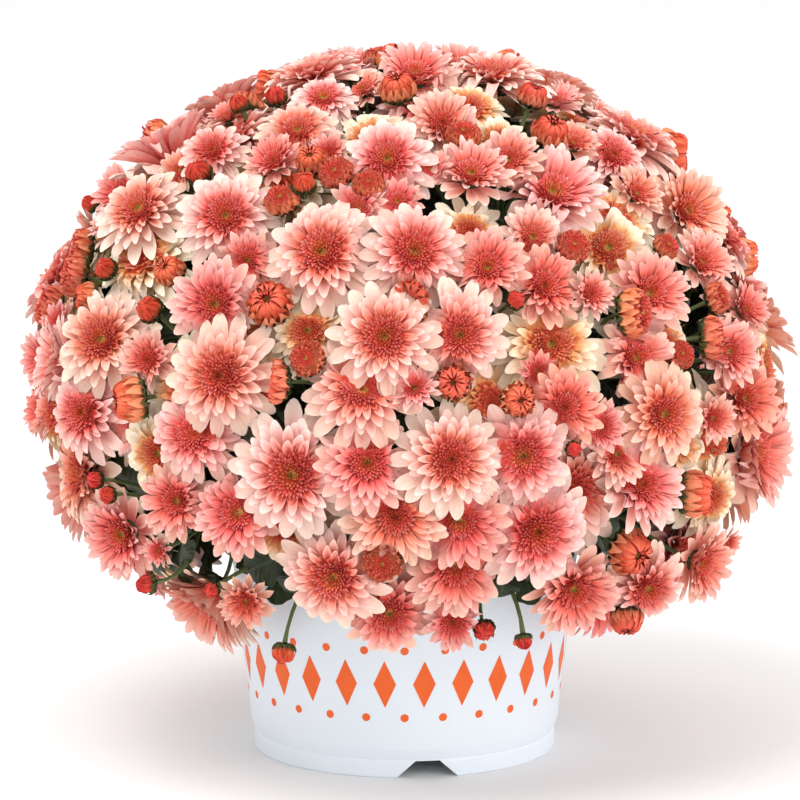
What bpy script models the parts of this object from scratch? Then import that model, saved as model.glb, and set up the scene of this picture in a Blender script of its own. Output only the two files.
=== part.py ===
"""A pot chrysanthemum: a dense dome of flowers on leafy stems, in a white nursery pot.

Metres, +Z up. The origin is the centre of the pot's foot, on the surface that it stands on, and the
front faces -Y. The pot, the soil, every leafy stem and every spray of flowers is a closed solid.
"""

import math
import random

import bmesh
import bpy
from mathutils import Vector

MM = 0.001
GAP = 0.3 * MM  # left between pieces that touch
UP = Vector((0.0, 0.0, 1.0))

# Pot, an 8 inch nursery pot
POT_HEIGHT = 128 * MM
POT_SEGMENTS = 28
WALL = 1.5 * MM
WALL_FOOT_RADIUS = 87.0 * MM  # of the straight wall, carried down to the ground
WALL_SPREAD = 0.1162  # how much the wall's radius grows with height
LIP_HEIGHT = 5.5 * MM
LIP_PROUD = 1.2 * MM
TURN_IN_HEIGHT = 32 * MM  # below this the wall rounds in to the foot
FOOT_RADIUS = 87.4 * MM
FOOT_HEIGHT = 10.4 * MM
FOOT_WALL = 2.4 * MM
FLOOR_HEIGHT = 13.5 * MM
FLOOR_THICKNESS = 2 * MM
FLOOR_INSET = 4 * MM  # of the inner floor's edge from the foot's outside
LIP_TUCK = 0.8 * MM  # height of the slope under the lip
SHOULDER_INSET, SHOULDER_HEIGHT = 1.4 * MM, 17 * MM  # where the wall starts to round in
GROOVE_HALF, GROOVE_DEPTH = 1.0 * MM, 0.8 * MM  # the groove over the foot
NOTCHES = 3
NOTCH_FIRST = math.radians(-81.3)  # the one that the front shows, right of the middle
NOTCH_WIDE, NOTCH_NARROW, NOTCH_HEIGHT = 38 * MM, 14 * MM, 9.8 * MM
NOTCH_BLOCK = 16 * MM  # length of the blocks that cut the notches
NOTCH_UNDER = 1 * MM  # how far they reach below the foot, where they are widest
DRAINS = 4
DRAIN_RADIUS = 5 * MM
DRAIN_CIRCLE = 62 * MM
DRAIN_BLOCK = 20 * MM
DRAIN_SIDES = 8
SHARP = math.radians(35)
MERGE = 0.01 * MM

# Soil
SOIL_HEIGHT = 116 * MM
SOIL_PLAY = 0.45 * MM
SOIL_FLOOR_RADIUS = 81.4 * MM
HOLE_DEPTH = 26 * MM
HOLE_SIDES = 4
HOLE_OVERRUN = 20 * MM

# Dome that the flowers' middles lie on: two half ellipsoids that share a widest level
DOME_LEVEL = 200 * MM
DOME_ACROSS = 212 * MM
DOME_UP = 197 * MM
DOME_DOWN = 176 * MM
DOME_LOWEST = 103 * MM  # no flower's middle is lower
LOW_LEVEL = 190 * MM  # flowers by the rule are drawn in below this level
LOW_SLOPE = 0.0024 / MM  # by this share of their distance from the axis for each millimetre below it
OUTSIDE = 1.0  # a distance from CROWN that is beyond the dome
SPREAD = 220 * MM  # no petal reaches further from the pot's axis along X or Y

# Sprays: the direction of each, as rings of (degrees above level, how many), seen from CROWN
CROWN = Vector((0.0, 0.0, 155 * MM))
SPRAY_RINGS = ((90, 1), (61, 5), (29, 8), (-1, 10))
HOLE_CIRCLES = (0 * MM, 24 * MM, 50 * MM, 76 * MM)
FORK_DEPTH = 98 * MM  # below the dome, where a spray sits on its leafy stem
SPRAY_TOP_DEPTH = 44 * MM
FIRST_STALK_DEPTH, LAST_STALK_DEPTH = 91 * MM, 49 * MM  # where stalks join it, below the dome
SPRAY_RADIUS = 2.8 * MM
STEM_RADIUS = 3.2 * MM
STALK_RADIUS = 1.6 * MM
STALK_END_RADIUS = 0.9 * MM
STALK_BEND = math.radians(58)  # a stalk that leaves its flower more askew gets a bend
BEND_DEPTH = 10 * MM
STEM_RISE = 10 * MM  # above the soil, where a stem starts to lean
STEM_STRAIGHT, STEM_STRAIGHTER = 30 * MM, 40 * MM  # straight up to its fork, and more if upright

# Leaves
LEAF_THICKNESS = 1.5 * MM
LEAVES_EACH = 2  # at most, between a spray and those beside it
BORDER_SHARE = 0.85  # cosine of half the widest angle between two sprays that share a border
BORDER_SLACK = 0.001  # by which a third spray may be nearer to their border
LEAF_DEPTH = 45 * MM  # of a leaf's tip below the dome
LOW_LEAF_DEEPER = 8 * MM  # and more between low sprays, whose flowers are drawn in
LEAF_STATIONS = (0.0, 0.26, 0.46, 0.58, 0.76)  # root, blade's start, lobe, notch, lobe
LEAF_HALF_WIDTHS = (1.2 * MM, 1.8 * MM, 15 * MM, 8 * MM, 12 * MM)
LOBES_FORWARD = (0.0, 0.0, 5 * MM, 0.0, 4 * MM)  # how far each station's ends point to the tip
LEAF_START = 12 * MM  # below the fork
LEAF_BOW = 26 * MM  # how far a leaf's bend is below its tip, and its tip beside its bend
LOW_LEAF_BEND, LOW_LEAF_BEND_LEVEL = 114 * MM, 134 * MM  # of the leaves that hang at the skirt
LOW_LEAF_TIP, LOW_LEAF_TIP_LEVEL = 124 * MM, 104 * MM
LOW_STEMS = 0.1  # stems whose sprays' directions rise less than this have such a leaf

# Where the flowers of the front half are read from: pixels of an 800 pixel square view, taken from
# VIEW_DISTANCE and VIEW_DOWN above level, in which one pixel is VIEW_PIXEL at the pot's axis
VIEW_SIZE = 800
VIEW_PIXEL = 0.578 * MM
VIEW_DISTANCE = 3.5
VIEW_DOWN = math.radians(10.5)
VIEW_AIM = Vector((-2.6 * MM, 0.0, 203 * MM))

# Kinds of flower: P pale with a coral middle, K pink, C cream, H half open, B bud. A second letter
# is the side that a flower leans to in the view: l left, r right, u up, d down.
# Each row is the pixel across, the pixel down, the flower's diameter in millimetres and its kind.
SEEN_UPPER_LEFT = (
    (144, 214, 51, "P"), (228, 220, 51, "P"), (245, 258, 28, "K"), (214, 303, 43, "K"),
    (270, 304, 25, "H"), (155, 312, 18, "B"), (175, 275, 17, "H"), (80, 278, 21, "Hl"),
    (112, 272, 15, "B"), (88, 298, 16, "Hl"), (86, 250, 19, "Hl"), (88, 226, 20, "Kl"),
    (90, 205, 12, "B"), (120, 190, 31, "K"), (150, 143, 24, "Hl"), (185, 128, 24, "P"),
    (215, 155, 35, "P"), (178, 168, 24, "K"), (203, 178, 17, "B"), (225, 112, 20, "K"),
    (250, 103, 15, "Hu"), (278, 103, 14, "B"), (262, 78, 18, "Hl"), (303, 66, 27, "K"),
    (274, 160, 28, "K"), (298, 133, 42, "P"), (328, 148, 20, "K"),
)
SEEN_TOP = (
    (350, 62, 31, "K"), (378, 53, 15, "H"), (324, 102, 34, "P"), (363, 88, 24, "K"),
    (415, 76, 38, "K"), (398, 95, 19, "H"), (463, 62, 34, "K"), (487, 48, 18, "K"),
    (515, 70, 25, "Hr"), (533, 60, 17, "K"), (473, 98, 36, "C"), (530, 103, 16, "H"),
    (442, 122, 33, "K"), (463, 136, 18, "H"), (502, 127, 28, "C"), (510, 158, 31, "K"),
    (373, 128, 44, "C"), (388, 163, 47, "P"), (431, 165, 19, "K"), (471, 174, 38, "K"),
    (313, 165, 17, "H"), (306, 190, 16, "B"), (337, 178, 18, "H"), (283, 203, 18, "H"),
    (357, 208, 28, "K"), (369, 188, 16, "H"), (398, 200, 25, "K"), (323, 253, 59, "P"),
    (414, 252, 53, "P"), (471, 225, 39, "C"), (487, 268, 38, "K"), (533, 236, 31, "K"),
    (408, 303, 24, "H"), (513, 303, 13, "B"), (545, 285, 39, "K"),
)
SEEN_UPPER_RIGHT = (
    (555, 100, 24, "K"), (575, 80, 19, "K"), (608, 110, 20, "K"), (547, 140, 20, "H"),
    (575, 141, 24, "K"), (613, 155, 37, "P"), (642, 132, 17, "K"), (667, 157, 27, "Hr"),
    (553, 192, 51, "K"), (638, 192, 27, "K"), (687, 210, 42, "K"), (706, 186, 19, "K"),
    (740, 210, 17, "Hr"), (748, 232, 13, "B"), (746, 256, 20, "Hr"), (615, 242, 48, "C"),
    (572, 248, 18, "H"), (665, 247, 14, "H"), (703, 262, 32, "K"), (652, 292, 40, "K"),
    (593, 292, 24, "K"), (712, 300, 16, "H"), (757, 282, 23, "K"), (744, 310, 27, "K"),
)
SEEN_LEFT = (
    (58, 322, 21, "K"), (40, 358, 28, "K"), (100, 340, 54, "P"), (147, 360, 29, "K"),
    (222, 376, 59, "P"), (273, 382, 24, "Hl"), (138, 400, 24, "Hl"), (40, 410, 22, "K"),
    (88, 412, 49, "P"), (148, 455, 42, "C"), (195, 432, 51, "P"), (102, 478, 12, "B"),
    (116, 492, 12, "B"), (176, 502, 36, "K"), (122, 535, 42, "K"), (240, 512, 42, "K"),
    (292, 475, 65, "P"),
)
SEEN_MIDDLE = (
    (303, 325, 42, "C"), (309, 360, 19, "H"), (385, 338, 56, "P"), (458, 335, 53, "P"),
    (555, 342, 55, "C"), (362, 388, 59, "P"), (414, 387, 24, "K"), (453, 383, 21, "H"),
    (516, 400, 20, "H"), (540, 370, 19, "K"), (563, 408, 37, "K"), (367, 462, 46, "K"),
    (450, 460, 57, "P"), (523, 455, 53, "P"), (395, 515, 48, "K"), (460, 520, 46, "K"),
    (535, 530, 62, "P"), (383, 558, 21, "H"), (335, 574, 57, "P"), (455, 567, 48, "K"),
)
SEEN_RIGHT = (
    (630, 315, 25, "Hr"), (638, 358, 39, "K"), (680, 355, 15, "H"), (710, 338, 21, "Hr"),
    (728, 352, 33, "K"), (742, 400, 37, "K"), (660, 414, 51, "P"), (713, 418, 24, "K"),
    (600, 427, 26, "K"), (620, 455, 32, "K"), (770, 432, 20, "K"), (568, 448, 11, "B"),
    (640, 485, 44, "K"), (690, 492, 25, "Hr"), (724, 503, 38, "C"), (628, 550, 25, "H"),
    (645, 585, 44, "P"), (698, 562, 37, "K"), (727, 542, 15, "K"),
)
SEEN_LOWER = (
    (388, 614, 49, "P"), (453, 620, 29, "K"), (482, 622, 15, "B"), (574, 590, 44, "K"),
    (520, 631, 12, "Bd"), (622, 614, 18, "Hd"), (245, 602, 27, "K"), (288, 640, 15, "Bd"),
    (155, 576, 15, "Bl"), (218, 582, 11, "B"), (160, 550, 16, "K"),
)
SEEN = (
    SEEN_UPPER_LEFT + SEEN_TOP + SEEN_UPPER_RIGHT + SEEN_LEFT + SEEN_MIDDLE + SEEN_RIGHT + SEEN_LOWER
)

SEEN_SEED = 5
SEEN_WIDER = {"P": 1.05, "K": 1.16, "C": 1.18, "H": 1.10, "B": 1.0}  # with what neighbours hide
TOWARD_VIEW = {"P": 0.7, "K": 0.45, "C": 0.5, "H": 0.1, "B": 0.3}  # turn from the dome's normal
LEANING_TOWARD_VIEW = 0.7  # and that of the flowers that lean to a side

# The other flowers fill the dome by a rule, the widest first. Each row is how many at most, the least
# and most diameter in millimetres, and the kinds drawn from.
FILL_SEED = 11
FILL_TRIES = 4000
FILL_ROUNDS = (
    (64, 56, 66, "PPPKC"), (16, 42, 50, "PPKKC"), (10, 27, 34, "PKK"), (7, 18, 24, "KHH"),
    (3, 12, 15, "B"),
)
FILL_SPACING = 0.80  # of the sum of two flowers' radii
FILL_FACING_AWAY = 0.42  # flowers by the rule face no more to the view than this

# Flowers of a lower layer, centred where the upper layer leaves a gap
UNDER_SEED = 3
UNDER_COUNT = 54
UNDER_DIAMETERS = (40, 50)
UNDER_KINDS = "CCP"
UNDER_DEPTH = 13 * MM
UNDER_CLEAR = 0.92  # least distance from an upper flower's middle, as a share of its radius
UNDER_SPACING = 0.70
UNDER_LOWEST = 150 * MM
UNDER_SLOPE = 0.45  # of the plane that parts an upper and a lower flower: its share across
UNDER_SHARE = 0.64  # where it lies between the two

# How far each kind stands proud of the dome, and the shape of its head as shares of its radius
LIFT = {"P": 0.0, "K": -2 * MM, "C": -9 * MM, "H": 3 * MM, "B": 6 * MM}
LIFT_VARIES = 2.5 * MM
LEAN = math.radians(48)
TILT_VARIES = math.radians(9)
UPWARD = 0.10  # how much the flowers turn to the light
FACE_SHAPES = {
    # tip radius, height; valley radius, height; inner ring radius, height; middle's height; neck's
    "P": ((1.16, 0.0), (0.76, -0.05), (0.55, 0.34), 0.12, -0.30),
    "K": ((1.12, 0.20), (0.76, 0.0), (0.54, 0.38), 0.12, -0.32),
    "C": ((1.14, -0.12), (0.77, -0.12), (0.55, 0.30), 0.14, -0.34),
    "H": ((0.92, 0.44), (0.86, -0.05), (0.48, 0.66), 0.30, -0.62),
    "B": ((0.96, 0.05), (0.84, 0.30), (0.34, 0.86), 0.94, -0.75),
}
SMALL_RADIUS, TINY_RADIUS = 17 * MM, 10.5 * MM
NECK_RADIUS = 0.13  # share of a head's radius, and never thinner than its stalk

# How flowers are kept apart
MIDDLE_GAP = 0.3 * MM  # what each of two flowers keeps from the plane between them
NEAR = 1.3  # flowers nearer than this share of their radii's sum are parted
LEAST_HEAD = 0.3  # share of its radius that a head keeps beside a passing stalk
BEFORE_ACROSS, BEFORE_ALONG = 0.85, 1.2  # shares of a radius within which one stands before another

# Colours (red, green, blue) and roughness
PINK = (0.86, 0.33, 0.30)
GREEN = (0.10, 0.17, 0.06)
WHITE = (0.80, 0.86, 0.92)
BROWN = (0.06, 0.04, 0.03)
PLANT_ROUGH, PLASTIC_ROUGH, SOIL_ROUGH = 0.6, 0.35, 0.95


class Flower:
    """A flower: its middle, the way it faces, its radius, kind, turn and spray."""

    def __init__(self, middle, facing, radius, kind, turn):
        self.middle = middle
        self.facing = facing
        self.radius = radius
        self.kind = kind
        self.turn = turn
        self.under = False
        self.spray = 0
        self.planes = []
        self.neck = None
        self.foot = None

    def clamp(self, point):
        """The point, drawn in towards the middle until it is on this side of every plane."""
        way = point - self.middle
        share = 1.0
        for normal, distance in self.planes:
            along = way.dot(normal)
            if along > distance:
                share = min(share, distance / along)
        return self.middle + way * share


def polar(radius, angle, height=0.0):
    return Vector((radius * math.cos(angle), radius * math.sin(angle), height))


def flat_point(origin, way, up_size):
    """A ray's point on the half of the dome that is up_size high, nearest its start."""
    scale = Vector((1 / DOME_ACROSS, 1 / DOME_ACROSS, 1 / up_size))
    start = (origin - Vector((0, 0, DOME_LEVEL))) * scale
    step = way * scale
    a, b, c = step.dot(step), start.dot(step), start.dot(start) - 1
    inside = b * b - a * c
    near = (-b - math.sqrt(max(inside, 0.0))) / a
    unit = (start + step * near).normalized()
    return Vector((unit.x / scale.x, unit.y / scale.y, unit.z / scale.z + DOME_LEVEL))


def on_dome(origin, way):
    point = flat_point(origin, way, DOME_UP)
    if point.z < DOME_LEVEL:
        point = flat_point(origin, way, DOME_DOWN)
    return point


def dome_reach(way):
    """How far the dome is from CROWN in a direction."""
    far = CROWN + way * OUTSIDE
    return (on_dome(far, -way) - CROWN).length


def dome_normal(point):
    up_size = DOME_UP if point.z > DOME_LEVEL else DOME_DOWN
    normal = Vector((point.x / DOME_ACROSS**2, point.y / DOME_ACROSS**2,
                     (point.z - DOME_LEVEL) / up_size**2))
    return normal.normalized()


def view_axes():
    forward = Vector((0.0, math.cos(VIEW_DOWN), -math.sin(VIEW_DOWN)))
    right = Vector((1.0, 0.0, 0.0))
    return right, right.cross(forward), forward


def view_ray(across, down):
    """The eye, and the direction in which it sees a pixel of the view."""
    right, above, forward = view_axes()
    eye = VIEW_AIM - forward * VIEW_DISTANCE
    offset = right * (across - VIEW_SIZE / 2) + above * (VIEW_SIZE / 2 - down)
    return eye, (forward * VIEW_DISTANCE + offset * VIEW_PIXEL).normalized()


def make_flower(point, diameter, kind, draw, toward_view=0.0):
    """A flower over a point of the dome, turned out, a little up and by the lean of its kind."""
    right, above, forward = view_axes()
    normal = dome_normal(point)
    facing = (normal + UP * UPWARD - forward * toward_view).normalized()
    side = {"l": -right, "r": right, "u": above, "d": -above}.get(kind[1:])
    if side:
        side = (side - facing * side.dot(facing)).normalized()
        facing = (facing * math.cos(LEAN) + side * math.sin(LEAN)).normalized()
    wobble = Vector((draw.uniform(-1, 1), draw.uniform(-1, 1), draw.uniform(-1, 1)))
    facing = (facing + wobble * math.tan(TILT_VARIES)).normalized()
    lift = LIFT[kind[0]] + draw.uniform(-1, 1) * LIFT_VARIES
    turn = draw.uniform(0, math.tau)
    return Flower(point + normal * lift, facing, diameter / 2 * MM, kind[0], turn)


def seen_flowers():
    draw = random.Random(SEEN_SEED)
    flowers = []
    for across, down, diameter, kind in SEEN:
        point = on_dome(*view_ray(across, down))
        wide = diameter * SEEN_WIDER[kind[0]]
        toward_view = TOWARD_VIEW.get(kind, LEANING_TOWARD_VIEW)
        flowers.append(make_flower(point, wide, kind, draw, toward_view))
    return flowers


def random_place(draw):
    way = Vector((draw.gauss(0, 1), draw.gauss(0, 1), draw.gauss(0, 1))).normalized()
    return on_dome(Vector((0, 0, DOME_LEVEL)) + way, -way)


def drawn_in(point):
    """The point, nearer the axis if it is low, where the flowers by the rule hang in."""
    share = 1.0 - LOW_SLOPE * max(LOW_LEVEL - point.z, 0.0)
    return Vector((point.x * share, point.y * share, point.z))


def fill_flowers(flowers):
    """Flowers that fill the sides and the back, the widest first, each clear of those before it."""
    draw = random.Random(FILL_SEED)
    view_from = -view_axes()[2]
    for most_in_all, least, most, kinds in FILL_ROUNDS:
        placed = 0
        for _ in range(FILL_TRIES):
            point = random_place(draw)
            diameter = draw.uniform(least, most)
            kind = draw.choice(kinds)
            facing_view = dome_normal(point).dot(view_from) > FILL_FACING_AWAY
            if placed == most_in_all or point.z < DOME_LOWEST or facing_view:
                continue
            point = drawn_in(point)
            reach = diameter / 2 * MM
            if all((point - other.middle).length > (reach + other.radius) * FILL_SPACING
                   for other in flowers):
                flowers.append(make_flower(point, diameter, kind, draw))
                placed += 1
    return flowers


def under_flowers(upper):
    """Flowers of the lower layer, which show between those of the upper one."""
    draw = random.Random(UNDER_SEED)
    lower = []
    for _ in range(FILL_TRIES):
        point = random_place(draw)
        diameter = draw.uniform(*UNDER_DIAMETERS)
        kind = draw.choice(UNDER_KINDS)
        if len(lower) == UNDER_COUNT or point.z < UNDER_LOWEST:
            continue
        point = drawn_in(point)
        reach = diameter / 2 * MM
        inner = point - dome_normal(point) * UNDER_DEPTH
        in_gap = all((point - other.middle).length > other.radius * UNDER_CLEAR for other in upper)
        if in_gap and all((inner - other.middle).length > (reach + other.radius) * UNDER_SPACING
                          for other in lower):
            flower = make_flower(point, diameter, kind, draw)
            flower.middle = inner
            flower.under = True
            lower.append(flower)
    return lower


def spray_ways():
    """The direction of each spray from CROWN, with the angle and radius of its stem's hole."""
    ways = []
    for ring, (level, count) in enumerate(SPRAY_RINGS):
        for index in range(count):
            angle = math.tau * (index + 0.5 * (ring % 2)) / count - math.pi / 2
            level_turn = math.radians(level)
            way = polar(math.cos(level_turn), angle, math.sin(level_turn))
            ways.append((way, polar(HOLE_CIRCLES[ring], angle)))
    return ways


def share_out(flowers, ways):
    """Gives each flower the spray whose direction is nearest, or the one of what it stands before."""
    for flower in flowers:
        out = flower.middle - CROWN
        flower.spray = max(range(len(ways)), key=lambda index: ways[index][0].dot(out))
    by_size = sorted(flowers, key=lambda flower: -flower.radius)
    for place, flower in enumerate(by_size):
        for wider in by_size[:place]:
            apart = flower.middle - wider.middle
            beside = apart - wider.facing * apart.dot(wider.facing)
            before = apart.length < BEFORE_ALONG * wider.radius
            if before and beside.length < BEFORE_ACROSS * wider.radius:
                flower.spray = wider.spray
                break


def set_planes(flowers):
    """Parts every two flowers that are near by a plane, so that no petal reaches into another."""
    for flower in flowers:
        flower.planes = [(Vector((x, y, 0)), SPREAD - x * flower.middle.x - y * flower.middle.y)
                         for x, y in ((1, 0), (-1, 0), (0, 1), (0, -1))]
        for other in flowers:
            apart = other.middle - flower.middle
            if other is flower or apart.length > (flower.radius + other.radius) * NEAR:
                continue
            if flower.under == other.under:
                normal, share = apart.normalized(), flower.radius / (flower.radius + other.radius)
            else:
                upper = other if flower.under else flower
                along = upper.facing * apart.dot(upper.facing)
                across = apart - along
                normal = (across.normalized() * UNDER_SLOPE + along.normalized()).normalized()
                share = 1 - UNDER_SHARE if flower.under else UNDER_SHARE
            flower.planes.append((normal, apart.dot(normal) * share - MIDDLE_GAP))


def set_stalks(flowers, ways):
    """Leads each flower's stalk to its spray's stem, the flowers furthest out to the lowest place."""
    for index, (way, _) in enumerate(ways):
        own = [flower for flower in flowers if flower.spray == index]
        reach = dome_reach(way)
        own.sort(key=lambda flower: (flower.middle - CROWN).normalized().dot(way))
        low, high = reach - FIRST_STALK_DEPTH, reach - LAST_STALK_DEPTH
        for place, flower in enumerate(own):
            along = low + (high - low) * place / max(len(own) - 1, 1)
            shape = FACE_SHAPES[flower.kind]
            flower.neck = flower.clamp(flower.middle + flower.facing * shape[4] * flower.radius)
            flower.foot = CROWN + way * along


def clear_stalks(flowers):
    """Parts every flower's head from the stalks of the others that pass close by."""
    for flower in flowers:
        for other in flowers:
            if other is flower:
                continue
            line = other.foot - other.neck
            share = (flower.middle - other.neck).dot(line) / line.length_squared
            nearest = other.neck + line * min(max(share, 0.0), 1.0)
            apart = nearest - flower.middle
            room = STALK_RADIUS + 2 * GAP
            if apart.length < flower.radius + room:
                distance = apart.length - room
                if distance > LEAST_HEAD * flower.radius:
                    flower.planes.append((apart.normalized(), distance))


def new_object(name, bm):
    bmesh.ops.triangulate(bm, faces=bm.faces)
    mesh = bpy.data.meshes.new(name)
    bm.to_mesh(mesh)
    bm.free()
    thing = bpy.data.objects.new(name, mesh)
    home.objects.link(thing)
    return thing


def bridge(bm, outer, inner, outward):
    """Faces between two rings of unlike counts that run the same way round."""
    i = j = 0
    while i < len(outer) or j < len(inner):
        here, there = outer[i % len(outer)], inner[j % len(inner)]
        if (i + 1) / len(outer) <= (j + 1) / len(inner):
            i += 1
            face = (here, outer[i % len(outer)], there)
        else:
            j += 1
            face = (here, inner[j % len(inner)], there)
        bm.faces.new(face if outward else face[::-1])


def ring_of_three(bm, centre, axis, radius, side):
    side = (side - axis * side.dot(axis)).normalized()
    across = axis.cross(side)
    return [bm.verts.new(centre + side * radius * math.cos(turn) + across * radius * math.sin(turn))
            for turn in (0.0, math.tau / 3, math.tau * 2 / 3)]


def petal_count(flower):
    if flower.radius < TINY_RADIUS and flower.kind != "H":
        return 4
    return 5


def is_plain(flower):
    """These flowers have no notches between the petals of their outer ring."""
    return flower.kind == "H" or flower.radius < SMALL_RADIUS


def flower_body(flower):
    """A head of two rings of petals, or one where little of it shows, and its stalk, in one mesh."""
    tip, valley, inner, middle_height, _ = FACE_SHAPES[flower.kind]
    bm = bmesh.new()
    side = flower.facing.orthogonal().normalized()
    across = flower.facing.cross(side)

    def corner(share, turn):
        way = side * math.cos(turn) + across * math.sin(turn)
        point = flower.middle + (way * share[0] + flower.facing * share[1]) * flower.radius
        return bm.verts.new(flower.clamp(point))

    count = petal_count(flower)
    one_ring = flower.under or flower.radius < TINY_RADIUS
    step = math.tau / count
    tips = [corner(tip, flower.turn + step * i) for i in range(count)]
    middle = corner((0.0, middle_height), 0.0)
    outline = []
    if not one_ring:
        inners = [corner(inner, flower.turn + step * (i + 0.5)) for i in range(count)]
    for i in range(count):
        after = (i + 1) % count
        outline.append(tips[i])
        if one_ring:
            bm.faces.new((tips[i], tips[after], middle))
            continue
        if is_plain(flower):
            bm.faces.new((tips[i], tips[after], inners[i]))
        else:
            notch = corner(valley, flower.turn + step * (i + 0.5))
            outline.append(notch)
            bm.faces.new((tips[i], notch, inners[i]))
            bm.faces.new((notch, tips[after], inners[i]))
        bm.faces.new((inners[i], tips[after], inners[after]))
        bm.faces.new((inners[i], inners[after], middle))

    neck_side = side * math.cos(flower.turn) + across * math.sin(flower.turn)
    down = (flower.foot - flower.neck).normalized()
    neck_radius = max(NECK_RADIUS * flower.radius, STALK_RADIUS)
    ring = ring_of_three(bm, flower.neck, flower.facing, neck_radius, neck_side)
    bridge(bm, outline, ring, False)
    if flower.facing.angle(-down) > STALK_BEND:
        knee = flower.neck - flower.facing * BEND_DEPTH
        down = (flower.foot - knee).normalized()
        mean = (flower.facing - down).normalized()
        lower = ring_of_three(bm, knee, mean, STALK_RADIUS, neck_side)
        bridge(bm, ring, lower, False)
        ring = lower
    end = ring_of_three(bm, flower.foot, -down, STALK_END_RADIUS, neck_side)
    bridge(bm, ring, end, False)
    bm.faces.new(end[::-1])
    return new_object("flower", bm)


def tube(points, radius):
    """A four-sided stem through the points, as a mesh with closed ends."""
    curve = bpy.data.curves.new("tube", "CURVE")
    curve.dimensions = "3D"
    curve.bevel_depth = radius
    curve.bevel_resolution = 0
    curve.use_fill_caps = True
    spline = curve.splines.new("POLY")
    spline.points.add(len(points) - 1)
    for place, point in zip(spline.points, points):
        place.co = (*point, 1.0)
    drawn = bpy.data.objects.new("tube", curve)
    home.objects.link(drawn)
    bpy.context.view_layer.update()
    mesh = bpy.data.meshes.new_from_object(drawn.evaluated_get(bpy.context.evaluated_depsgraph_get()))
    bpy.data.objects.remove(drawn)
    bm = bmesh.new()
    bm.from_mesh(mesh)
    bmesh.ops.remove_doubles(bm, verts=bm.verts, dist=MERGE)
    bpy.data.meshes.remove(mesh)
    return new_object("tube", bm)


def fuse(name, pieces, colour):
    """Joins the pieces into one closed body."""
    body, rest = pieces[0], pieces[1:]
    if rest:
        group = bpy.data.collections.new(name + "_pieces")
        for piece in rest:
            group.objects.link(piece)
        union = body.modifiers.new("union", "BOOLEAN")
        union.operation = "UNION"
        union.operand_type = "COLLECTION"
        union.collection = group
        bpy.context.view_layer.objects.active = body
        bpy.ops.object.modifier_apply(modifier=union.name)
        for piece in rest:
            bpy.data.objects.remove(piece)
        bpy.data.collections.remove(group)
    body.name = name
    paint(body, colour, PLANT_ROUGH)
    return body


def paint(body, colour, roughness):
    material = bpy.data.materials.new(body.name)
    material.use_nodes = True
    shader = material.node_tree.nodes["Principled BSDF"]
    shader.inputs["Base Color"].default_value = (*colour, 1.0)
    shader.inputs["Roughness"].default_value = roughness
    shader.inputs["Metallic"].default_value = 0.0
    body.data.materials.clear()
    body.data.materials.append(material)


def leaf(start, bend, tip, across):
    """A lobed leaf on an arched rib from start to tip; across is the way of its width."""
    bm = bmesh.new()

    def rib(share):
        rest = 1.0 - share
        return start * rest * rest + bend * 2 * rest * share + tip * share * share

    rings = []
    for station, half_width, forward in zip(LEAF_STATIONS, LEAF_HALF_WIDTHS, LOBES_FORWARD):
        centre = rib(station)
        along = (bend - start).lerp(tip - bend, station).normalized()
        side = (across - along * across.dot(along)).normalized()
        out = side.cross(along)
        rings.append([bm.verts.new(centre + side * half_width + along * forward),
                      bm.verts.new(centre - out * LEAF_THICKNESS),
                      bm.verts.new(centre - side * half_width + along * forward)])
    end = bm.verts.new(tip)
    for lower, upper in zip(rings, rings[1:]):
        for i in range(3):
            after = (i + 1) % 3
            bm.faces.new((lower[i], lower[after], upper[after], upper[i]))
    last = rings[-1]
    for i in range(3):
        bm.faces.new((last[i], last[(i + 1) % 3], end))
    bm.faces.new(rings[0][::-1])
    bmesh.ops.recalc_face_normals(bm, faces=bm.faces)
    return new_object("leaf", bm)


def build_spray(index, way, flowers):
    reach = dome_reach(way)
    bottom, top = CROWN + way * (reach - FORK_DEPTH), CROWN + way * (reach - SPRAY_TOP_DEPTH)
    pieces = [tube((bottom, top), SPRAY_RADIUS)]
    pieces += [flower_body(flower) for flower in flowers]
    return fuse("spray_%02d" % (index + 1), pieces, PINK)


def neighbours(index, ways):
    """Later sprays that share a border with this one."""
    found = []
    way = ways[index][0]
    for other in range(index + 1, len(ways)):
        middle = (way + ways[other][0]).normalized()
        own = middle.dot(way)
        if own > BORDER_SHARE and all(middle.dot(third[0]) < own + BORDER_SLACK
                                      for place, third in enumerate(ways)
                                      if place not in (index, other)):
            found.append(other)
    return found[:LEAVES_EACH]


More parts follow.
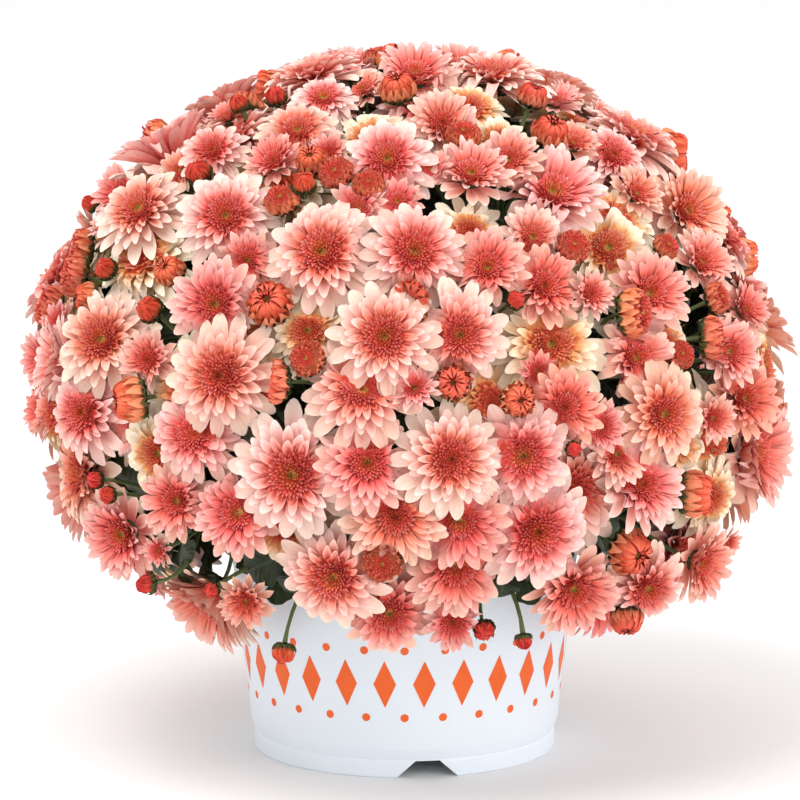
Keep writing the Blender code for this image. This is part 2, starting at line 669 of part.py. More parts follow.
def build_leafy_stem(index, ways):
    way, hole = ways[index]
    reach = dome_reach(way)
    fork = CROWN + way * (reach - FORK_DEPTH - GAP)
    straight = STEM_STRAIGHT + STEM_STRAIGHTER * max(way.z, 0.0)
    foot = hole + UP * (SOIL_HEIGHT - HOLE_DEPTH + GAP)
    points = (foot, hole + UP * (SOIL_HEIGHT + STEM_RISE), fork - way * straight, fork)
    pieces = [tube(points, STEM_RADIUS)]
    start = fork - way * LEAF_START
    for turn, other in enumerate(neighbours(index, ways)):
        border = (way + ways[other][0]).normalized()
        along = border.cross(ways[other][0] - way).normalized() * (1 if turn % 2 else -1)
        across = (ways[other][0] - way).normalized()
        far = dome_reach(border) - LEAF_DEPTH - LOW_LEAF_DEEPER * (border.z < LOW_STEMS)
        bend = CROWN + border * (far - LEAF_BOW)
        tip = CROWN + border * far + along * LEAF_BOW
        pieces.append(leaf(start, bend, tip, across))
    if way.z < LOW_STEMS:
        turn = math.atan2(way.y, way.x) + math.pi / SPRAY_RINGS[-1][1]
        bend = polar(LOW_LEAF_BEND, turn, LOW_LEAF_BEND_LEVEL)
        tip = polar(LOW_LEAF_TIP, turn, LOW_LEAF_TIP_LEVEL)
        pieces.append(leaf(start, bend, tip, polar(1.0, turn + math.pi / 2)))
    return fuse("leafy_stem_%02d" % (index + 1), pieces, GREEN)


def turned(name, profile, segments):
    """A turned shape from a profile of (radius, height) that ends on the axis."""
    bm = bmesh.new()
    corners = [bm.verts.new((radius, 0.0, height)) for radius, height in profile]
    for one, two in zip(corners, corners[1:]):
        bm.edges.new((one, two))
    mesh = bpy.data.meshes.new(name)
    bm.to_mesh(mesh)
    bm.free()
    body = bpy.data.objects.new(name, mesh)
    home.objects.link(body)
    screw = body.modifiers.new("turn", "SCREW")
    screw.steps = screw.render_steps = segments
    screw.use_merge_vertices = True
    screw.merge_threshold = MERGE
    return body


def settle(body):
    """Applies the turning and the cuts, and shades the round walls smooth."""
    bpy.context.view_layer.update()
    found = bpy.context.evaluated_depsgraph_get()
    mesh = bpy.data.meshes.new_from_object(body.evaluated_get(found))
    body.modifiers.clear()
    body.data = mesh
    mesh.shade_smooth()
    mesh.set_sharp_from_angle(angle=SHARP)


def wall_radius(height):
    return WALL_FOOT_RADIUS + WALL_SPREAD * height


def cutter(name, bm):
    bmesh.ops.recalc_face_normals(bm, faces=bm.faces)
    mesh = bpy.data.meshes.new(name)
    bm.to_mesh(mesh)
    bm.free()
    thing = bpy.data.objects.new(name, mesh)
    cutters.objects.link(thing)
    thing.hide_render = True
    thing.display_type = "WIRE"
    return thing


def cut(body, tool):
    difference = body.modifiers.new("cut", "BOOLEAN")
    difference.operation = "DIFFERENCE"
    difference.object = tool


def notch_cutter():
    """Blocks, narrower at the top, that cut the way out for water through the foot."""
    bm = bmesh.new()
    for index in range(NOTCHES):
        made = bmesh.ops.create_cube(bm, size=1.0)["verts"]
        turn = NOTCH_FIRST + math.tau * index / NOTCHES
        for corner in made:
            top = corner.co.z > 0
            width = NOTCH_NARROW if top else NOTCH_WIDE
            height = NOTCH_HEIGHT if top else -NOTCH_UNDER
            out, over = FOOT_RADIUS + corner.co.x * NOTCH_BLOCK, corner.co.y * width
            corner.co = polar(out, turn, height) + polar(over, turn + math.pi / 2)
    return cutter("notches", bm)


def drain_cutter():
    bm = bmesh.new()
    for index in range(DRAINS):
        made = bmesh.ops.create_cone(bm, cap_ends=True, segments=DRAIN_SIDES, radius1=DRAIN_RADIUS,
                                     radius2=DRAIN_RADIUS, depth=DRAIN_BLOCK)["verts"]
        turn = math.tau * (index + 0.5) / DRAINS
        bmesh.ops.translate(bm, verts=made, vec=polar(DRAIN_CIRCLE, turn, FLOOR_HEIGHT))
    return cutter("drains", bm)


def build_pot():
    top = POT_HEIGHT
    under_lip = top - LIP_HEIGHT
    turn_in = TURN_IN_HEIGHT
    lip_radius = wall_radius(top) + LIP_PROUD
    under_floor = FLOOR_HEIGHT - FLOOR_THICKNESS
    profile = (
        (0.0, FLOOR_HEIGHT),
        (FOOT_RADIUS - FLOOR_INSET, FLOOR_HEIGHT),
        (wall_radius(turn_in) - WALL, turn_in),
        (wall_radius(top) - WALL, top),
        (lip_radius, top),
        (lip_radius, under_lip),
        (wall_radius(under_lip), under_lip - LIP_TUCK),
        (wall_radius(turn_in), turn_in),
        (wall_radius(turn_in) - SHOULDER_INSET, SHOULDER_HEIGHT),
        (FOOT_RADIUS, FOOT_HEIGHT + GROOVE_HALF),
        (FOOT_RADIUS - GROOVE_DEPTH, FOOT_HEIGHT),
        (FOOT_RADIUS, FOOT_HEIGHT - GROOVE_HALF),
        (FOOT_RADIUS, 0.0),
        (FOOT_RADIUS - FOOT_WALL, 0.0),
        (FOOT_RADIUS - FOOT_WALL, under_floor),
        (0.0, under_floor),
    )
    pot = turned("pot", profile, POT_SEGMENTS)
    cut(pot, notch_cutter())
    cut(pot, drain_cutter())
    settle(pot)
    paint(pot, WHITE, PLASTIC_ROUGH)


def hole_cutter(ways):
    bm = bmesh.new()
    radius = (STEM_RADIUS + GAP) / math.cos(math.pi / HOLE_SIDES)
    height = HOLE_DEPTH + HOLE_OVERRUN
    for _, hole in ways:
        made = bmesh.ops.create_cone(bm, cap_ends=True, segments=HOLE_SIDES, radius1=radius,
                                     radius2=radius, depth=height)["verts"]
        centre = hole + UP * (SOIL_HEIGHT - HOLE_DEPTH + height / 2)
        bmesh.ops.translate(bm, verts=made, vec=centre)
    return cutter("stem_holes", bm)


def build_soil(ways):
    turn_in = TURN_IN_HEIGHT
    inset = WALL + SOIL_PLAY
    profile = (
        (0.0, SOIL_HEIGHT),
        (wall_radius(SOIL_HEIGHT) - inset, SOIL_HEIGHT),
        (wall_radius(turn_in) - inset, turn_in),
        (SOIL_FLOOR_RADIUS, FLOOR_HEIGHT + GAP),
        (0.0, FLOOR_HEIGHT + GAP),
    )
    soil = turned("soil", profile, POT_SEGMENTS)
    cut(soil, hole_cutter(ways))
    settle(soil)
    paint(soil, BROWN, SOIL_ROUGH)


def arrange():
    """Every flower, with its spray, its planes and its stalk, and the directions of the sprays."""
    ways = spray_ways()
    flowers = fill_flowers(seen_flowers())
    flowers += under_flowers(flowers)
    share_out(flowers, ways)
    set_planes(flowers)
    set_stalks(flowers, ways)
    clear_stalks(flowers)
    return flowers, ways


for thing in list(bpy.data.objects):
    bpy.data.objects.remove(thing)
home = bpy.data.collections.new("Pot chrysanthemum")
cutters = bpy.data.collections.new("Cutters")
bpy.context.scene.collection.children.link(home)
bpy.context.scene.collection.children.link(cutters)

flowers, ways = arrange()
build_pot()
build_soil(ways)
for index in range(len(ways)):
    build_leafy_stem(index, ways)
    build_spray(index, ways[index][0], [flower for flower in flowers if flower.spray == index])
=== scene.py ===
"""Looks of the pot chrysanthemum: petals, stalks, leaves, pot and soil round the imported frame."""

import math
import random

import bmesh
import bpy
import numpy as np
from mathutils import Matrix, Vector


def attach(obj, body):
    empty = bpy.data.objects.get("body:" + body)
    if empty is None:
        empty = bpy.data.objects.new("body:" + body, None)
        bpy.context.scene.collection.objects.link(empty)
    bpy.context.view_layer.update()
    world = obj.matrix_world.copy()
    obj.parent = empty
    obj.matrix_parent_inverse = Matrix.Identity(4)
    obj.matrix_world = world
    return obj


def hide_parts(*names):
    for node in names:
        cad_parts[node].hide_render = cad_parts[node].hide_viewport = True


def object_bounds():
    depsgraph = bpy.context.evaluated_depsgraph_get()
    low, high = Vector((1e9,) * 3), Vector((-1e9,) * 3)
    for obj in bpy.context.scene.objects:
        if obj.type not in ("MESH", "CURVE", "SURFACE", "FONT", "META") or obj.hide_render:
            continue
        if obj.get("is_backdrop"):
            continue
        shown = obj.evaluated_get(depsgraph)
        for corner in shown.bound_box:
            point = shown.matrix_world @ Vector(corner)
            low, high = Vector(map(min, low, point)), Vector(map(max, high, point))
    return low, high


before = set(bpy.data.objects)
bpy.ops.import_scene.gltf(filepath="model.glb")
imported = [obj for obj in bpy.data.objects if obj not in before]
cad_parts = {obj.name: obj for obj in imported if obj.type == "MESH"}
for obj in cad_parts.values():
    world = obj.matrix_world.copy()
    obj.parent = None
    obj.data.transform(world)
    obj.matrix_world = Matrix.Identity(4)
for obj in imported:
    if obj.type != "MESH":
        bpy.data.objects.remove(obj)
cad_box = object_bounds()

MM = 0.001
GAP = 0.3 * MM
UP = Vector((0.0, 0.0, 1.0))
GOLDEN = math.pi * (3 - math.sqrt(5))
SENSOR = 36.0
TINY = 1e-9  # keeps a division from zero

# Pot, an 8 inch nursery pot
POT_HEIGHT = 128 * MM
WALL = 1.5 * MM
WALL_FOOT_RADIUS = 87.0 * MM  # of the straight wall, carried down to the ground
WALL_SPREAD = 0.1162  # how much the wall's radius grows with height
LIP_HEIGHT = 5.5 * MM
LIP_PROUD = 1.2 * MM
TURN_IN_HEIGHT = 32 * MM  # below this the wall rounds in to the foot
FOOT_RADIUS = 87.4 * MM
FOOT_HEIGHT = 10.4 * MM
FOOT_WALL = 2.4 * MM
FLOOR_HEIGHT = 13.5 * MM
FLOOR_THICKNESS = 2 * MM
FLOOR_INSET = 4 * MM  # of the inner floor's edge from the foot's outside
LIP_TUCK = 0.8 * MM  # height of the slope under the lip
SHOULDER_INSET, SHOULDER_HEIGHT = 1.4 * MM, 17 * MM  # where the wall starts to round in
GROOVE_HALF, GROOVE_DEPTH = 1.0 * MM, 0.8 * MM  # the groove over the foot
NOTCHES = 3
NOTCH_FIRST = math.radians(-81.3)  # the one that the front shows, right of the middle
NOTCH_WIDE, NOTCH_NARROW, NOTCH_HEIGHT = 38 * MM, 14 * MM, 9.8 * MM
NOTCH_BLOCK = 16 * MM  # length of the blocks that cut the notches
NOTCH_UNDER = 1 * MM  # how far they reach below the foot, where they are widest
DRAINS = 4
DRAIN_RADIUS = 5 * MM
DRAIN_CIRCLE = 62 * MM
DRAIN_BLOCK = 20 * MM
SHARP = math.radians(35)
POT_STEPS, DRAIN_SIDES = 144, 32
CORNER_RADIUS, CORNER_POINTS, CORNER_MOST = 1.0 * MM, 4, 0.45  # and most of it, as a share of its sides
MERGED = 0.01 * MM  # points nearer than this become one

# The pot's printed band
PRINT_PROUD = 0.12 * MM
LOZENGES = 26
LOZENGE_LEVEL, LOZENGE_HALF_HEIGHT, LOZENGE_HALF_WIDTH = 56 * MM, 14 * MM, 6.5 * MM
DOT_RADIUS, DOT_SIDES = 2.4 * MM, 16
DOT_LEVELS = (36 * MM, 76 * MM)

# Soil
SOIL_HEIGHT = 116 * MM
SOIL_PLAY = 0.45 * MM
SOIL_FLOOR_RADIUS = 81.4 * MM
HOLE_DEPTH = 26 * MM
SOIL_SEED, SOIL_SIDES, SOIL_RINGS = 4, 90, 26
SOIL_GRAIN, SOIL_WAVE = 0.9 * MM, 1.5 * MM  # heights of its crumbs and of its lumps
SOIL_LEVEL_FROM, SOIL_INNERMOST = 0.97, 0.01  # shares of its radius: level at the wall, and where it starts

# Dome that the flowers' middles lie on: two half ellipsoids that share a widest level
DOME_LEVEL = 200 * MM
DOME_ACROSS = 212 * MM
DOME_UP = 197 * MM
DOME_DOWN = 176 * MM
DOME_LOWEST = 103 * MM  # no flower's middle is lower
LOW_LEVEL = 190 * MM  # flowers by the rule are drawn in below this level
LOW_SLOPE = 0.0024 / MM  # by this share of their distance from the axis for each millimetre below it
OUTSIDE = 1.0  # a distance from CROWN that is beyond the dome

# Sprays: the direction of each, as rings of (degrees above level, how many), seen from CROWN
CROWN = Vector((0.0, 0.0, 155 * MM))
SPRAY_RINGS = ((90, 1), (61, 5), (29, 8), (-1, 10))
HOLE_CIRCLES = (0 * MM, 24 * MM, 50 * MM, 76 * MM)
FORK_DEPTH = 98 * MM  # below the dome, where a spray sits on its leafy stem
SPRAY_MIDDLE_DEPTH, SPRAY_TOP_DEPTH = 70 * MM, 44 * MM
SPRAY_RADII = (2.6 * MM, 2.4 * MM, 1.2 * MM)  # of its stem at the fork, half way and at its top
STEM_RADIUS, STALK_RADIUS = 3.0 * MM, 1.1 * MM
STALK_WIDER, STALK_NECK = 1.25, 1.5  # how much wider a stalk is at its foot, and under the head
STALK_TUCK, STALK_KNEE = 0.04, 0.35  # shares of the head's radius it goes in, and of its length to its bend
STALK_POINTS, STALK_SIDES, STALK_TONE = 8, 6, 0.4
SPRAY_SIDES, STEM_SIDES, STEM_POINTS, STEM_TONE = 8, 10, 10, 0.35
FIRST_STALK_DEPTH, LAST_STALK_DEPTH = 91 * MM, 49 * MM  # where stalks join it, below the dome
STEM_RISE = 10 * MM  # above the soil, where a stem starts to lean
STEM_STRAIGHT, STEM_STRAIGHTER = 30 * MM, 40 * MM  # straight up to its fork, and more if upright
STEM_BEND = 0.6  # share of the way from there to that straight part, where it bends

# Leaves
LEAVES_EACH = 2  # at most, between a spray and those beside it
BORDER_SHARE = 0.85  # cosine of half the widest angle between two sprays that share a border
BORDER_SLACK = 0.001  # by which a third spray may be nearer to their border
LEAF_DEPTH = 45 * MM  # of a leaf's tip below the dome
LOW_LEAF_DEEPER = 8 * MM  # and more between low sprays, whose flowers are drawn in
LEAF_START = 12 * MM  # below the fork
LEAF_BOW = 26 * MM  # how far a leaf's bend is below its tip, and its tip beside its bend
LOW_LEAF_BEND, LOW_LEAF_BEND_LEVEL = 114 * MM, 134 * MM  # of the leaves that hang at the skirt
LOW_LEAF_TIP, LOW_LEAF_TIP_LEVEL = 124 * MM, 104 * MM
LOW_STEMS = 0.1  # stems whose sprays' directions rise less than this have such a leaf

# Where the flowers of the front half are read from: pixels of an 800 pixel square view, taken from
# VIEW_DISTANCE and VIEW_DOWN above level, in which one pixel is VIEW_PIXEL at the pot's axis
VIEW_SIZE = 800
VIEW_PIXEL = 0.578 * MM
VIEW_DISTANCE = 3.5
VIEW_DOWN = math.radians(10.5)
VIEW_AIM = Vector((-2.6 * MM, 0.0, 203 * MM))

# Kinds of flower: P pale with a coral middle, K pink, C cream, H half open, B bud. A second letter
# is the side that a flower leans to in the view: l left, r right, u up, d down.
# Each row is the pixel across, the pixel down, the flower's diameter in millimetres and its kind.
SEEN = (
    # upper left
    (144, 214, 51, "P"), (228, 220, 51, "P"), (245, 258, 28, "K"), (214, 303, 43, "K"),
    (270, 304, 25, "H"), (155, 312, 18, "B"), (175, 275, 17, "H"), (80, 278, 21, "Hl"),
    (112, 272, 15, "B"), (88, 298, 16, "Hl"), (86, 250, 19, "Hl"), (88, 226, 20, "Kl"),
    (90, 205, 12, "B"), (120, 190, 31, "K"), (150, 143, 24, "Hl"), (185, 128, 24, "P"),
    (215, 155, 35, "P"), (178, 168, 24, "K"), (203, 178, 17, "B"), (225, 112, 20, "K"),
    (250, 103, 15, "Hu"), (278, 103, 14, "B"), (262, 78, 18, "Hl"), (303, 66, 27, "K"),
    (274, 160, 28, "K"), (298, 133, 42, "P"), (328, 148, 20, "K"),
    # top
    (350, 62, 31, "K"), (378, 53, 15, "H"), (324, 102, 34, "P"), (363, 88, 24, "K"),
    (415, 76, 38, "K"), (398, 95, 19, "H"), (463, 62, 34, "K"), (487, 48, 18, "K"),
    (515, 70, 25, "Hr"), (533, 60, 17, "K"), (473, 98, 36, "C"), (530, 103, 16, "H"),
    (442, 122, 33, "K"), (463, 136, 18, "H"), (502, 127, 28, "C"), (510, 158, 31, "K"),
    (373, 128, 44, "C"), (388, 163, 47, "P"), (431, 165, 19, "K"), (471, 174, 38, "K"),
    (313, 165, 17, "H"), (306, 190, 16, "B"), (337, 178, 18, "H"), (283, 203, 18, "H"),
    (357, 208, 28, "K"), (369, 188, 16, "H"), (398, 200, 25, "K"), (323, 253, 59, "P"),
    (414, 252, 53, "P"), (471, 225, 39, "C"), (487, 268, 38, "K"), (533, 236, 31, "K"),
    (408, 303, 24, "H"), (513, 303, 13, "B"), (545, 285, 39, "K"),
    # upper right
    (555, 100, 24, "K"), (575, 80, 19, "K"), (608, 110, 20, "K"), (547, 140, 20, "H"),
    (575, 141, 24, "K"), (613, 155, 37, "P"), (642, 132, 17, "K"), (667, 157, 27, "Hr"),
    (553, 192, 51, "K"), (638, 192, 27, "K"), (687, 210, 42, "K"), (706, 186, 19, "K"),
    (740, 210, 17, "Hr"), (748, 232, 13, "B"), (746, 256, 20, "Hr"), (615, 242, 48, "C"),
    (572, 248, 18, "H"), (665, 247, 14, "H"), (703, 262, 32, "K"), (652, 292, 40, "K"),
    (593, 292, 24, "K"), (712, 300, 16, "H"), (757, 282, 23, "K"), (744, 310, 27, "K"),
    # left
    (58, 322, 21, "K"), (40, 358, 28, "K"), (100, 340, 54, "P"), (147, 360, 29, "K"),
    (222, 376, 59, "P"), (273, 382, 24, "Hl"), (138, 400, 24, "Hl"), (40, 410, 22, "K"),
    (88, 412, 49, "P"), (148, 455, 42, "C"), (195, 432, 51, "P"), (102, 478, 12, "B"),
    (116, 492, 12, "B"), (176, 502, 36, "K"), (122, 535, 42, "K"), (240, 512, 42, "K"),
    (292, 475, 65, "P"),
    # middle
    (303, 325, 42, "C"), (309, 360, 19, "H"), (385, 338, 56, "P"), (458, 335, 53, "P"),
    (555, 342, 55, "C"), (362, 388, 59, "P"), (414, 387, 24, "K"), (453, 383, 21, "H"),
    (516, 400, 20, "H"), (540, 370, 19, "K"), (563, 408, 37, "K"), (367, 462, 46, "K"),
    (450, 460, 57, "P"), (523, 455, 53, "P"), (395, 515, 48, "K"), (460, 520, 46, "K"),
    (535, 530, 62, "P"), (383, 558, 21, "H"), (335, 574, 57, "P"), (455, 567, 48, "K"),
    # right
    (630, 315, 25, "Hr"), (638, 358, 39, "K"), (680, 355, 15, "H"), (710, 338, 21, "Hr"),
    (728, 352, 33, "K"), (742, 400, 37, "K"), (660, 414, 51, "P"), (713, 418, 24, "K"),
    (600, 427, 26, "K"), (620, 455, 32, "K"), (770, 432, 20, "K"), (568, 448, 11, "B"),
    (640, 485, 44, "K"), (690, 492, 25, "Hr"), (724, 503, 38, "C"), (628, 550, 25, "H"),
    (645, 585, 44, "P"), (698, 562, 37, "K"), (727, 542, 15, "K"),
    # lower edge
    (388, 614, 49, "P"), (453, 620, 29, "K"), (482, 622, 15, "B"), (574, 590, 44, "K"),
    (520, 631, 12, "Bd"), (622, 614, 18, "Hd"), (245, 602, 27, "K"), (288, 640, 15, "Bd"),
    (155, 576, 15, "Bl"), (218, 582, 11, "B"), (160, 550, 16, "K"),
)
SEEN_SEED = 5
SEEN_WIDER = {"P": 1.05, "K": 1.16, "C": 1.18, "H": 1.10, "B": 1.0}  # with what neighbours hide
TOWARD_VIEW = {"P": 0.7, "K": 0.45, "C": 0.5, "H": 0.1, "B": 0.3}  # turn from the dome's normal
LEANING_TOWARD_VIEW = 0.7  # and that of the flowers that lean to a side

# The other flowers fill the dome by a rule, the widest first. Each row is how many at most, the least
# and most diameter in millimetres, and the kinds drawn from
FILL_SEED = 11
FILL_TRIES = 4000
FILL_ROUNDS = (
    (64, (56, 66), "PPPKC"), (16, (42, 50), "PPKKC"), (10, (27, 34), "PKK"), (7, (18, 24), "KHH"),
    (3, (12, 15), "B"),
)
FILL_SPACING = 0.80  # of the sum of two flowers' radii
FILL_FACING_AWAY = 0.42  # flowers by the rule face no more to the view than this

# Flowers of a lower layer, centred where the upper layer leaves a gap
UNDER_SEED = 3
UNDER_COUNT = 54
UNDER_DIAMETERS = (40, 50)
UNDER_KINDS = "CCP"
UNDER_DEPTH = 13 * MM
UNDER_CLEAR = 0.92  # least distance from an upper flower's middle, as a share of its radius
UNDER_SPACING = 0.70
UNDER_LOWEST = 150 * MM
UNDER_FEWER = 3  # of the florets in the middle, one in this many is there

# How far each kind stands proud of the dome, and the shape of its head as shares of its radius
LIFT = {"P": 0.0, "K": -2 * MM, "C": -9 * MM, "H": 3 * MM, "B": 6 * MM}
LIFT_VARIES = 2.5 * MM
LEAN = math.radians(48)
TILT_VARIES = math.radians(9)
UPWARD = 0.10  # how much the flowers turn to the light
NEARER = 0.10  # flowers at the front, which the view shows larger, are smaller by this share
UNDER_WIDER = 1.32  # flowers of the lower layer, with the petals that their solids leave out
BEFORE_ACROSS, BEFORE_ALONG = 0.85, 1.2  # shares of a radius within which one stands before another
# How a flower slips under one in front: the latter's underside below its middle, as a share of its
# radius, and the shares of the radius that the pressing reaches out, over which it fades out and that
# it reaches up, and the share of the height that it takes
UNDERSIDE = {"P": 0.26, "K": 0.19, "C": 0.30, "H": 0.66, "B": 0.80}
PRESS_OUT, PRESS_FADE, PRESS_HIGH, PRESS_SHARE = 1.33, 0.20, 1.0, 0.90
ROUND_LESS = 0.15  # by how much less far it reaches on half open heads and buds, which stay round
PRESS_DROOP = 0.38  # how much lower that underside lies under the petals' ends
DROOP_FROM, DROOP_SPAN = 0.85, 0.5  # where it starts to droop, and over how much of the radius
PRESS_RANGE = 1.25  # of the sum of two flowers' radii: further apart they don't press each other
SPRAY_SEED = 100  # of the first spray's petals and leaves, and one more for each spray after it
NECK_DEPTH = {"P": 0.30, "K": 0.32, "C": 0.34, "H": 0.62, "B": 0.75}  # shares of a head's radius

# Heads, in shares of their radius, also where a function places florets by numbers of its own. The
# middle's florets are in a spiral, at most CORE_OUT from it
CORE_OUT = 0.43
CORE_COUNTS = ((8 * MM, 34), (14 * MM, 60), (20 * MM, 84), (30 * MM, 116))
CORE_PAINTED_SEAM_SHADE = -0.14  # painted shade: how much darker their sides are, at the seams between them
# The floor's low tone is partly painted shade under the florets
BED_SIDES, BED_RINGS, BED_DEPTH, BED_TONE = 12, 5, 0.13, 0.10  # the floor under them
CORE_SHARES, CORE_HEIGHTS = (0.0, 0.12, 0.30, 0.46), (0.17, 0.22, 0.29, 0.27)
PINK_RISE = (0.0, 0.0, 0.05, 0.05)  # how much higher those are in pink flowers
# Shares of the way out through a ring of florets, and how far they lean, their tone or their cup there
CORE_LEAN = (0, 0.25, 1), (-0.02, 0.05, 0.13)
CORE_TONE = (0, 0.35, 1), (0.48, 0.53, 0.70)
RIM_CUP = (0, 0.5, 1), (0.85, 0.6, 0.4)
# The rim petals' lowest root tones are partly painted shade where the petals crowd at the middle
RIM_ROOT_TONE, RIM_TONE = ((0, 0.5, 1), (-0.05, 0.08, 0.48)), ((0, 0.3, 1), (0.84, 0.97, 1.0))
TOP_PAINTED_LIGHT, TOP_PAINTED_LIGHT_FROM = 0.16, 0.35  # painted light from above: how much paler flowers are that face up by more than the second
PALE, PALE_VARIES = {"P": 0.90, "K": 0.79, "C": 0.98}, 0.06  # how pale the petals of each kind are
CREAM_TINGE, MOST_TINGE = (0.10, 0.12), 0.4  # mean, spread and most of the cream in kinds P and K
GLOBE_SHARE = 0.45  # of the half open heads, whose middles are still closed
EYE_COUNT, EYE_OUT = 15, 0.095
RING_COUNTS = ((8 * MM, 12), (14 * MM, 18), (20 * MM, 23), (30 * MM, 29))  # between middle and rim
RIM_COUNTS = ((8 * MM, 20), (14 * MM, 30), (20 * MM, 40), (30 * MM, 52))
RIM_STEPS = (0.0, 0.35, 0.7, 1.0)  # from the innermost long petal to the outermost
RIM_OUT = (0.66, 0.82, 0.96, 1.05)
RIM_UP = {"P": (0.32, 0.28, 0.15, -0.02), "K": (0.48, 0.58, 0.58, 0.50), "C": (0.25, 0.17, 0.03, -0.12)}
SKIRT_COUNTS = ((8 * MM, 10), (14 * MM, 13), (30 * MM, 18))  # the palest petals, behind the rim
SKIRT_OUT = {"P": 1.25, "K": 1.22, "C": 1.27}
SKIRT_UP = {"P": -0.26, "K": 0.18, "C": -0.30}
RIM_HALF_WIDTH = (0.080, 0.098, 0.112, 0.118)
SMALL_WIDER = (8 * MM, 22 * MM), (1.35, 1.0)  # radii of flowers, and how much wider their petals are

# Petals: stations along one, the half width at each as a share of the widest, and points across
LONG_PETAL = ((0.0, 0.34, 0.64, 0.86, 1.0), (0.42, 0.82, 1.0, 1.0, 0.76), 5)
SHORT_PETAL = ((0.0, 0.3, 0.6, 0.85, 1.0), (0.50, 0.85, 1.0, 0.75, 0.2), 3)
QUILL = ((0.0, 0.65, 1.0), (0.55, 1.0, 0.45), 3)
BARREL_PETAL = ((0.0, 0.3, 0.6, 0.85, 1.0), (0.35, 0.80, 1.0, 0.95, 0.60), 5)
BARREL_COUNT = 13  # petals to each ring of a half open head
# How far out and up a petal of each ring bulges and ends, where the head opens and where it is closed
BARREL_RINGS = (((1.26, -0.52), (0.98, 0.34)), ((1.12, -0.42), (0.90, 0.52)))
BALL_RINGS = (((1.28, -0.52), (0.86, 0.40)), ((1.20, -0.36), (0.66, 0.62)))
# The same for petals that close over the middle, and how far from it and how high up they end
CLOSING_RINGS = ((0.78, 0.86, 0.30, 0.70), (0.56, 0.80, 0.17, 0.56))
MOUTH_EDGE, MOUTH_COUNT = 26, 44  # florets at the edge of an open mouth, and in it
MOUTH_PAINTED_SEAM_SHADE = -0.20  # painted shade: their sides, and those of the petals that close over it
BUD_RINGS = (((1.26, 0.0), (0.12, 0.86)), ((1.14, 0.1), (0.05, 0.98)))
WRAP_ROOT, WRAP_CUP = (0.10, -0.62), -0.55  # where petals that hug a head start, and how they are cupped
WRAP_PAINTED_SEAM_SHADE = -0.14  # painted shade: how much darker their sides are, at the seams
HALF_OPEN_WARM, BUD_WARM = (0.75, 0.2), (0.40, 0.25)  # mean and spread of the orange at their petals' roots
BUD_COUNT = 8  # petals and sepals to each ring of a bud, and sepals to each ring of a half open head
SEPAL_COUNT = 9  # under an open flower
CLOSING_PETAL = ((0.0, 0.3, 0.55, 0.8, 1.0), (0.95, 1.10, 0.95, 0.66, 0.30), 5)
NARROW_PETAL = ((0.0, 0.3, 0.6, 0.85, 1.0), (0.45, 0.82, 1.0, 0.95, 0.55), 3)
TIP_ROUND = 0.14  # how much shorter a petal is at its edges than along its middle
CUP_RIB = 0.4  # share of a petal's cup by which its middle line lies lower
PETAL_TWIST, PETAL_ASIDE = 0.16, 0.05  # how much petals twist, and bend aside for their length
FINE_FROM = 16 * MM  # heads smaller than this have petals of fewer faces

# Leaves: along the blade from its base, the half width as a share of its length, with lobes
LEAF_SHARES = (0.0, 0.10, 0.20, 0.28, 0.36, 0.42, 0.50, 0.58, 0.64, 0.70, 0.76, 0.84, 0.90, 0.96, 1.0)
LEAF_WIDTHS = (0.015, 0.04, 0.13, 0.20, 0.17, 0.15, 0.25, 0.30, 0.24, 0.15, 0.21, 0.20, 0.13, 0.08, 0.01)
LEAF_COLUMNS = (-1.0, -0.66, -0.33, 0.0, 0.33, 0.66, 1.0)
LEAF_FORWARD = 0.30  # how far a lobe points on, as a share of the half width
LEAF_FOLD, LEAF_CURL = 0.30, 0.16  # how much a blade rises from its rib, and turns down at its edge
BLADE_START = 0.26
LEAF_STALK_RADIUS, LEAF_STALK_SIDES = 0.9 * MM, 5
LEAF_POINTS, LEAF_STALK_POINTS = 33, slice(0, 10, 3)  # on its line, and those that its stalk goes through
LEAF_SHADES = (0.3, 0.8)
# Leaves of a spray besides those that the solids have, and more further in with fewer faces: how many,
# the first one's turn, how far out its tip is in millimetres, the share of that for its bend, how deep
# its tip is, where on the spray's line it starts, how much deeper its bend is, its shade and columns
INNER_LEAVES = (
    (8, 0.0, (36, 60), 0.35, (19, 34), (55, 92), -4, (0.2, 0.8), LEAF_COLUMNS),
    # the leaves further in are darker: painted shade deep in the dome
    (9, 1.0, (25, 62), 0.3, (42, 75), (96, 120), 6, (0.1, 0.5), (-1.0, 0.0, 1.0)),
)

# Colours, those of petals by tone from the root of an inner floret to the tip of an outer petal. The
# lowest tones, given to the roots, are partly the petals' own deep red and partly painted shade where
# petals crowd
CORAL_STOPS = (
    (0.0, (0.42, 0.012, 0.016)), (0.14, (0.66, 0.034, 0.036)), (0.30, (0.80, 0.085, 0.075)),
    (0.45, (0.85, 0.195, 0.17)), (0.62, (0.89, 0.34, 0.30)), (0.80, (0.925, 0.51, 0.47)),
    (1.0, (0.95, 0.73, 0.68)),
)
CREAM_STOPS = (
    (0.0, (0.52, 0.07, 0.02)), (0.2, (0.82, 0.20, 0.05)), (0.42, (0.90, 0.42, 0.16)),
    (0.7, (0.94, 0.68, 0.44)), (1.0, (0.96, 0.87, 0.70)),
)
EYE_GREEN = (0.70, 0.60, 0.12)
STEM_GREENS = (0.045, 0.07, 0.022), (0.11, 0.15, 0.05)
# The leaves' darker green, near black, is partly painted shade of the gaps they fill
LEAF_GREENS = (0.010, 0.020, 0.007), (0.035, 0.06, 0.018)
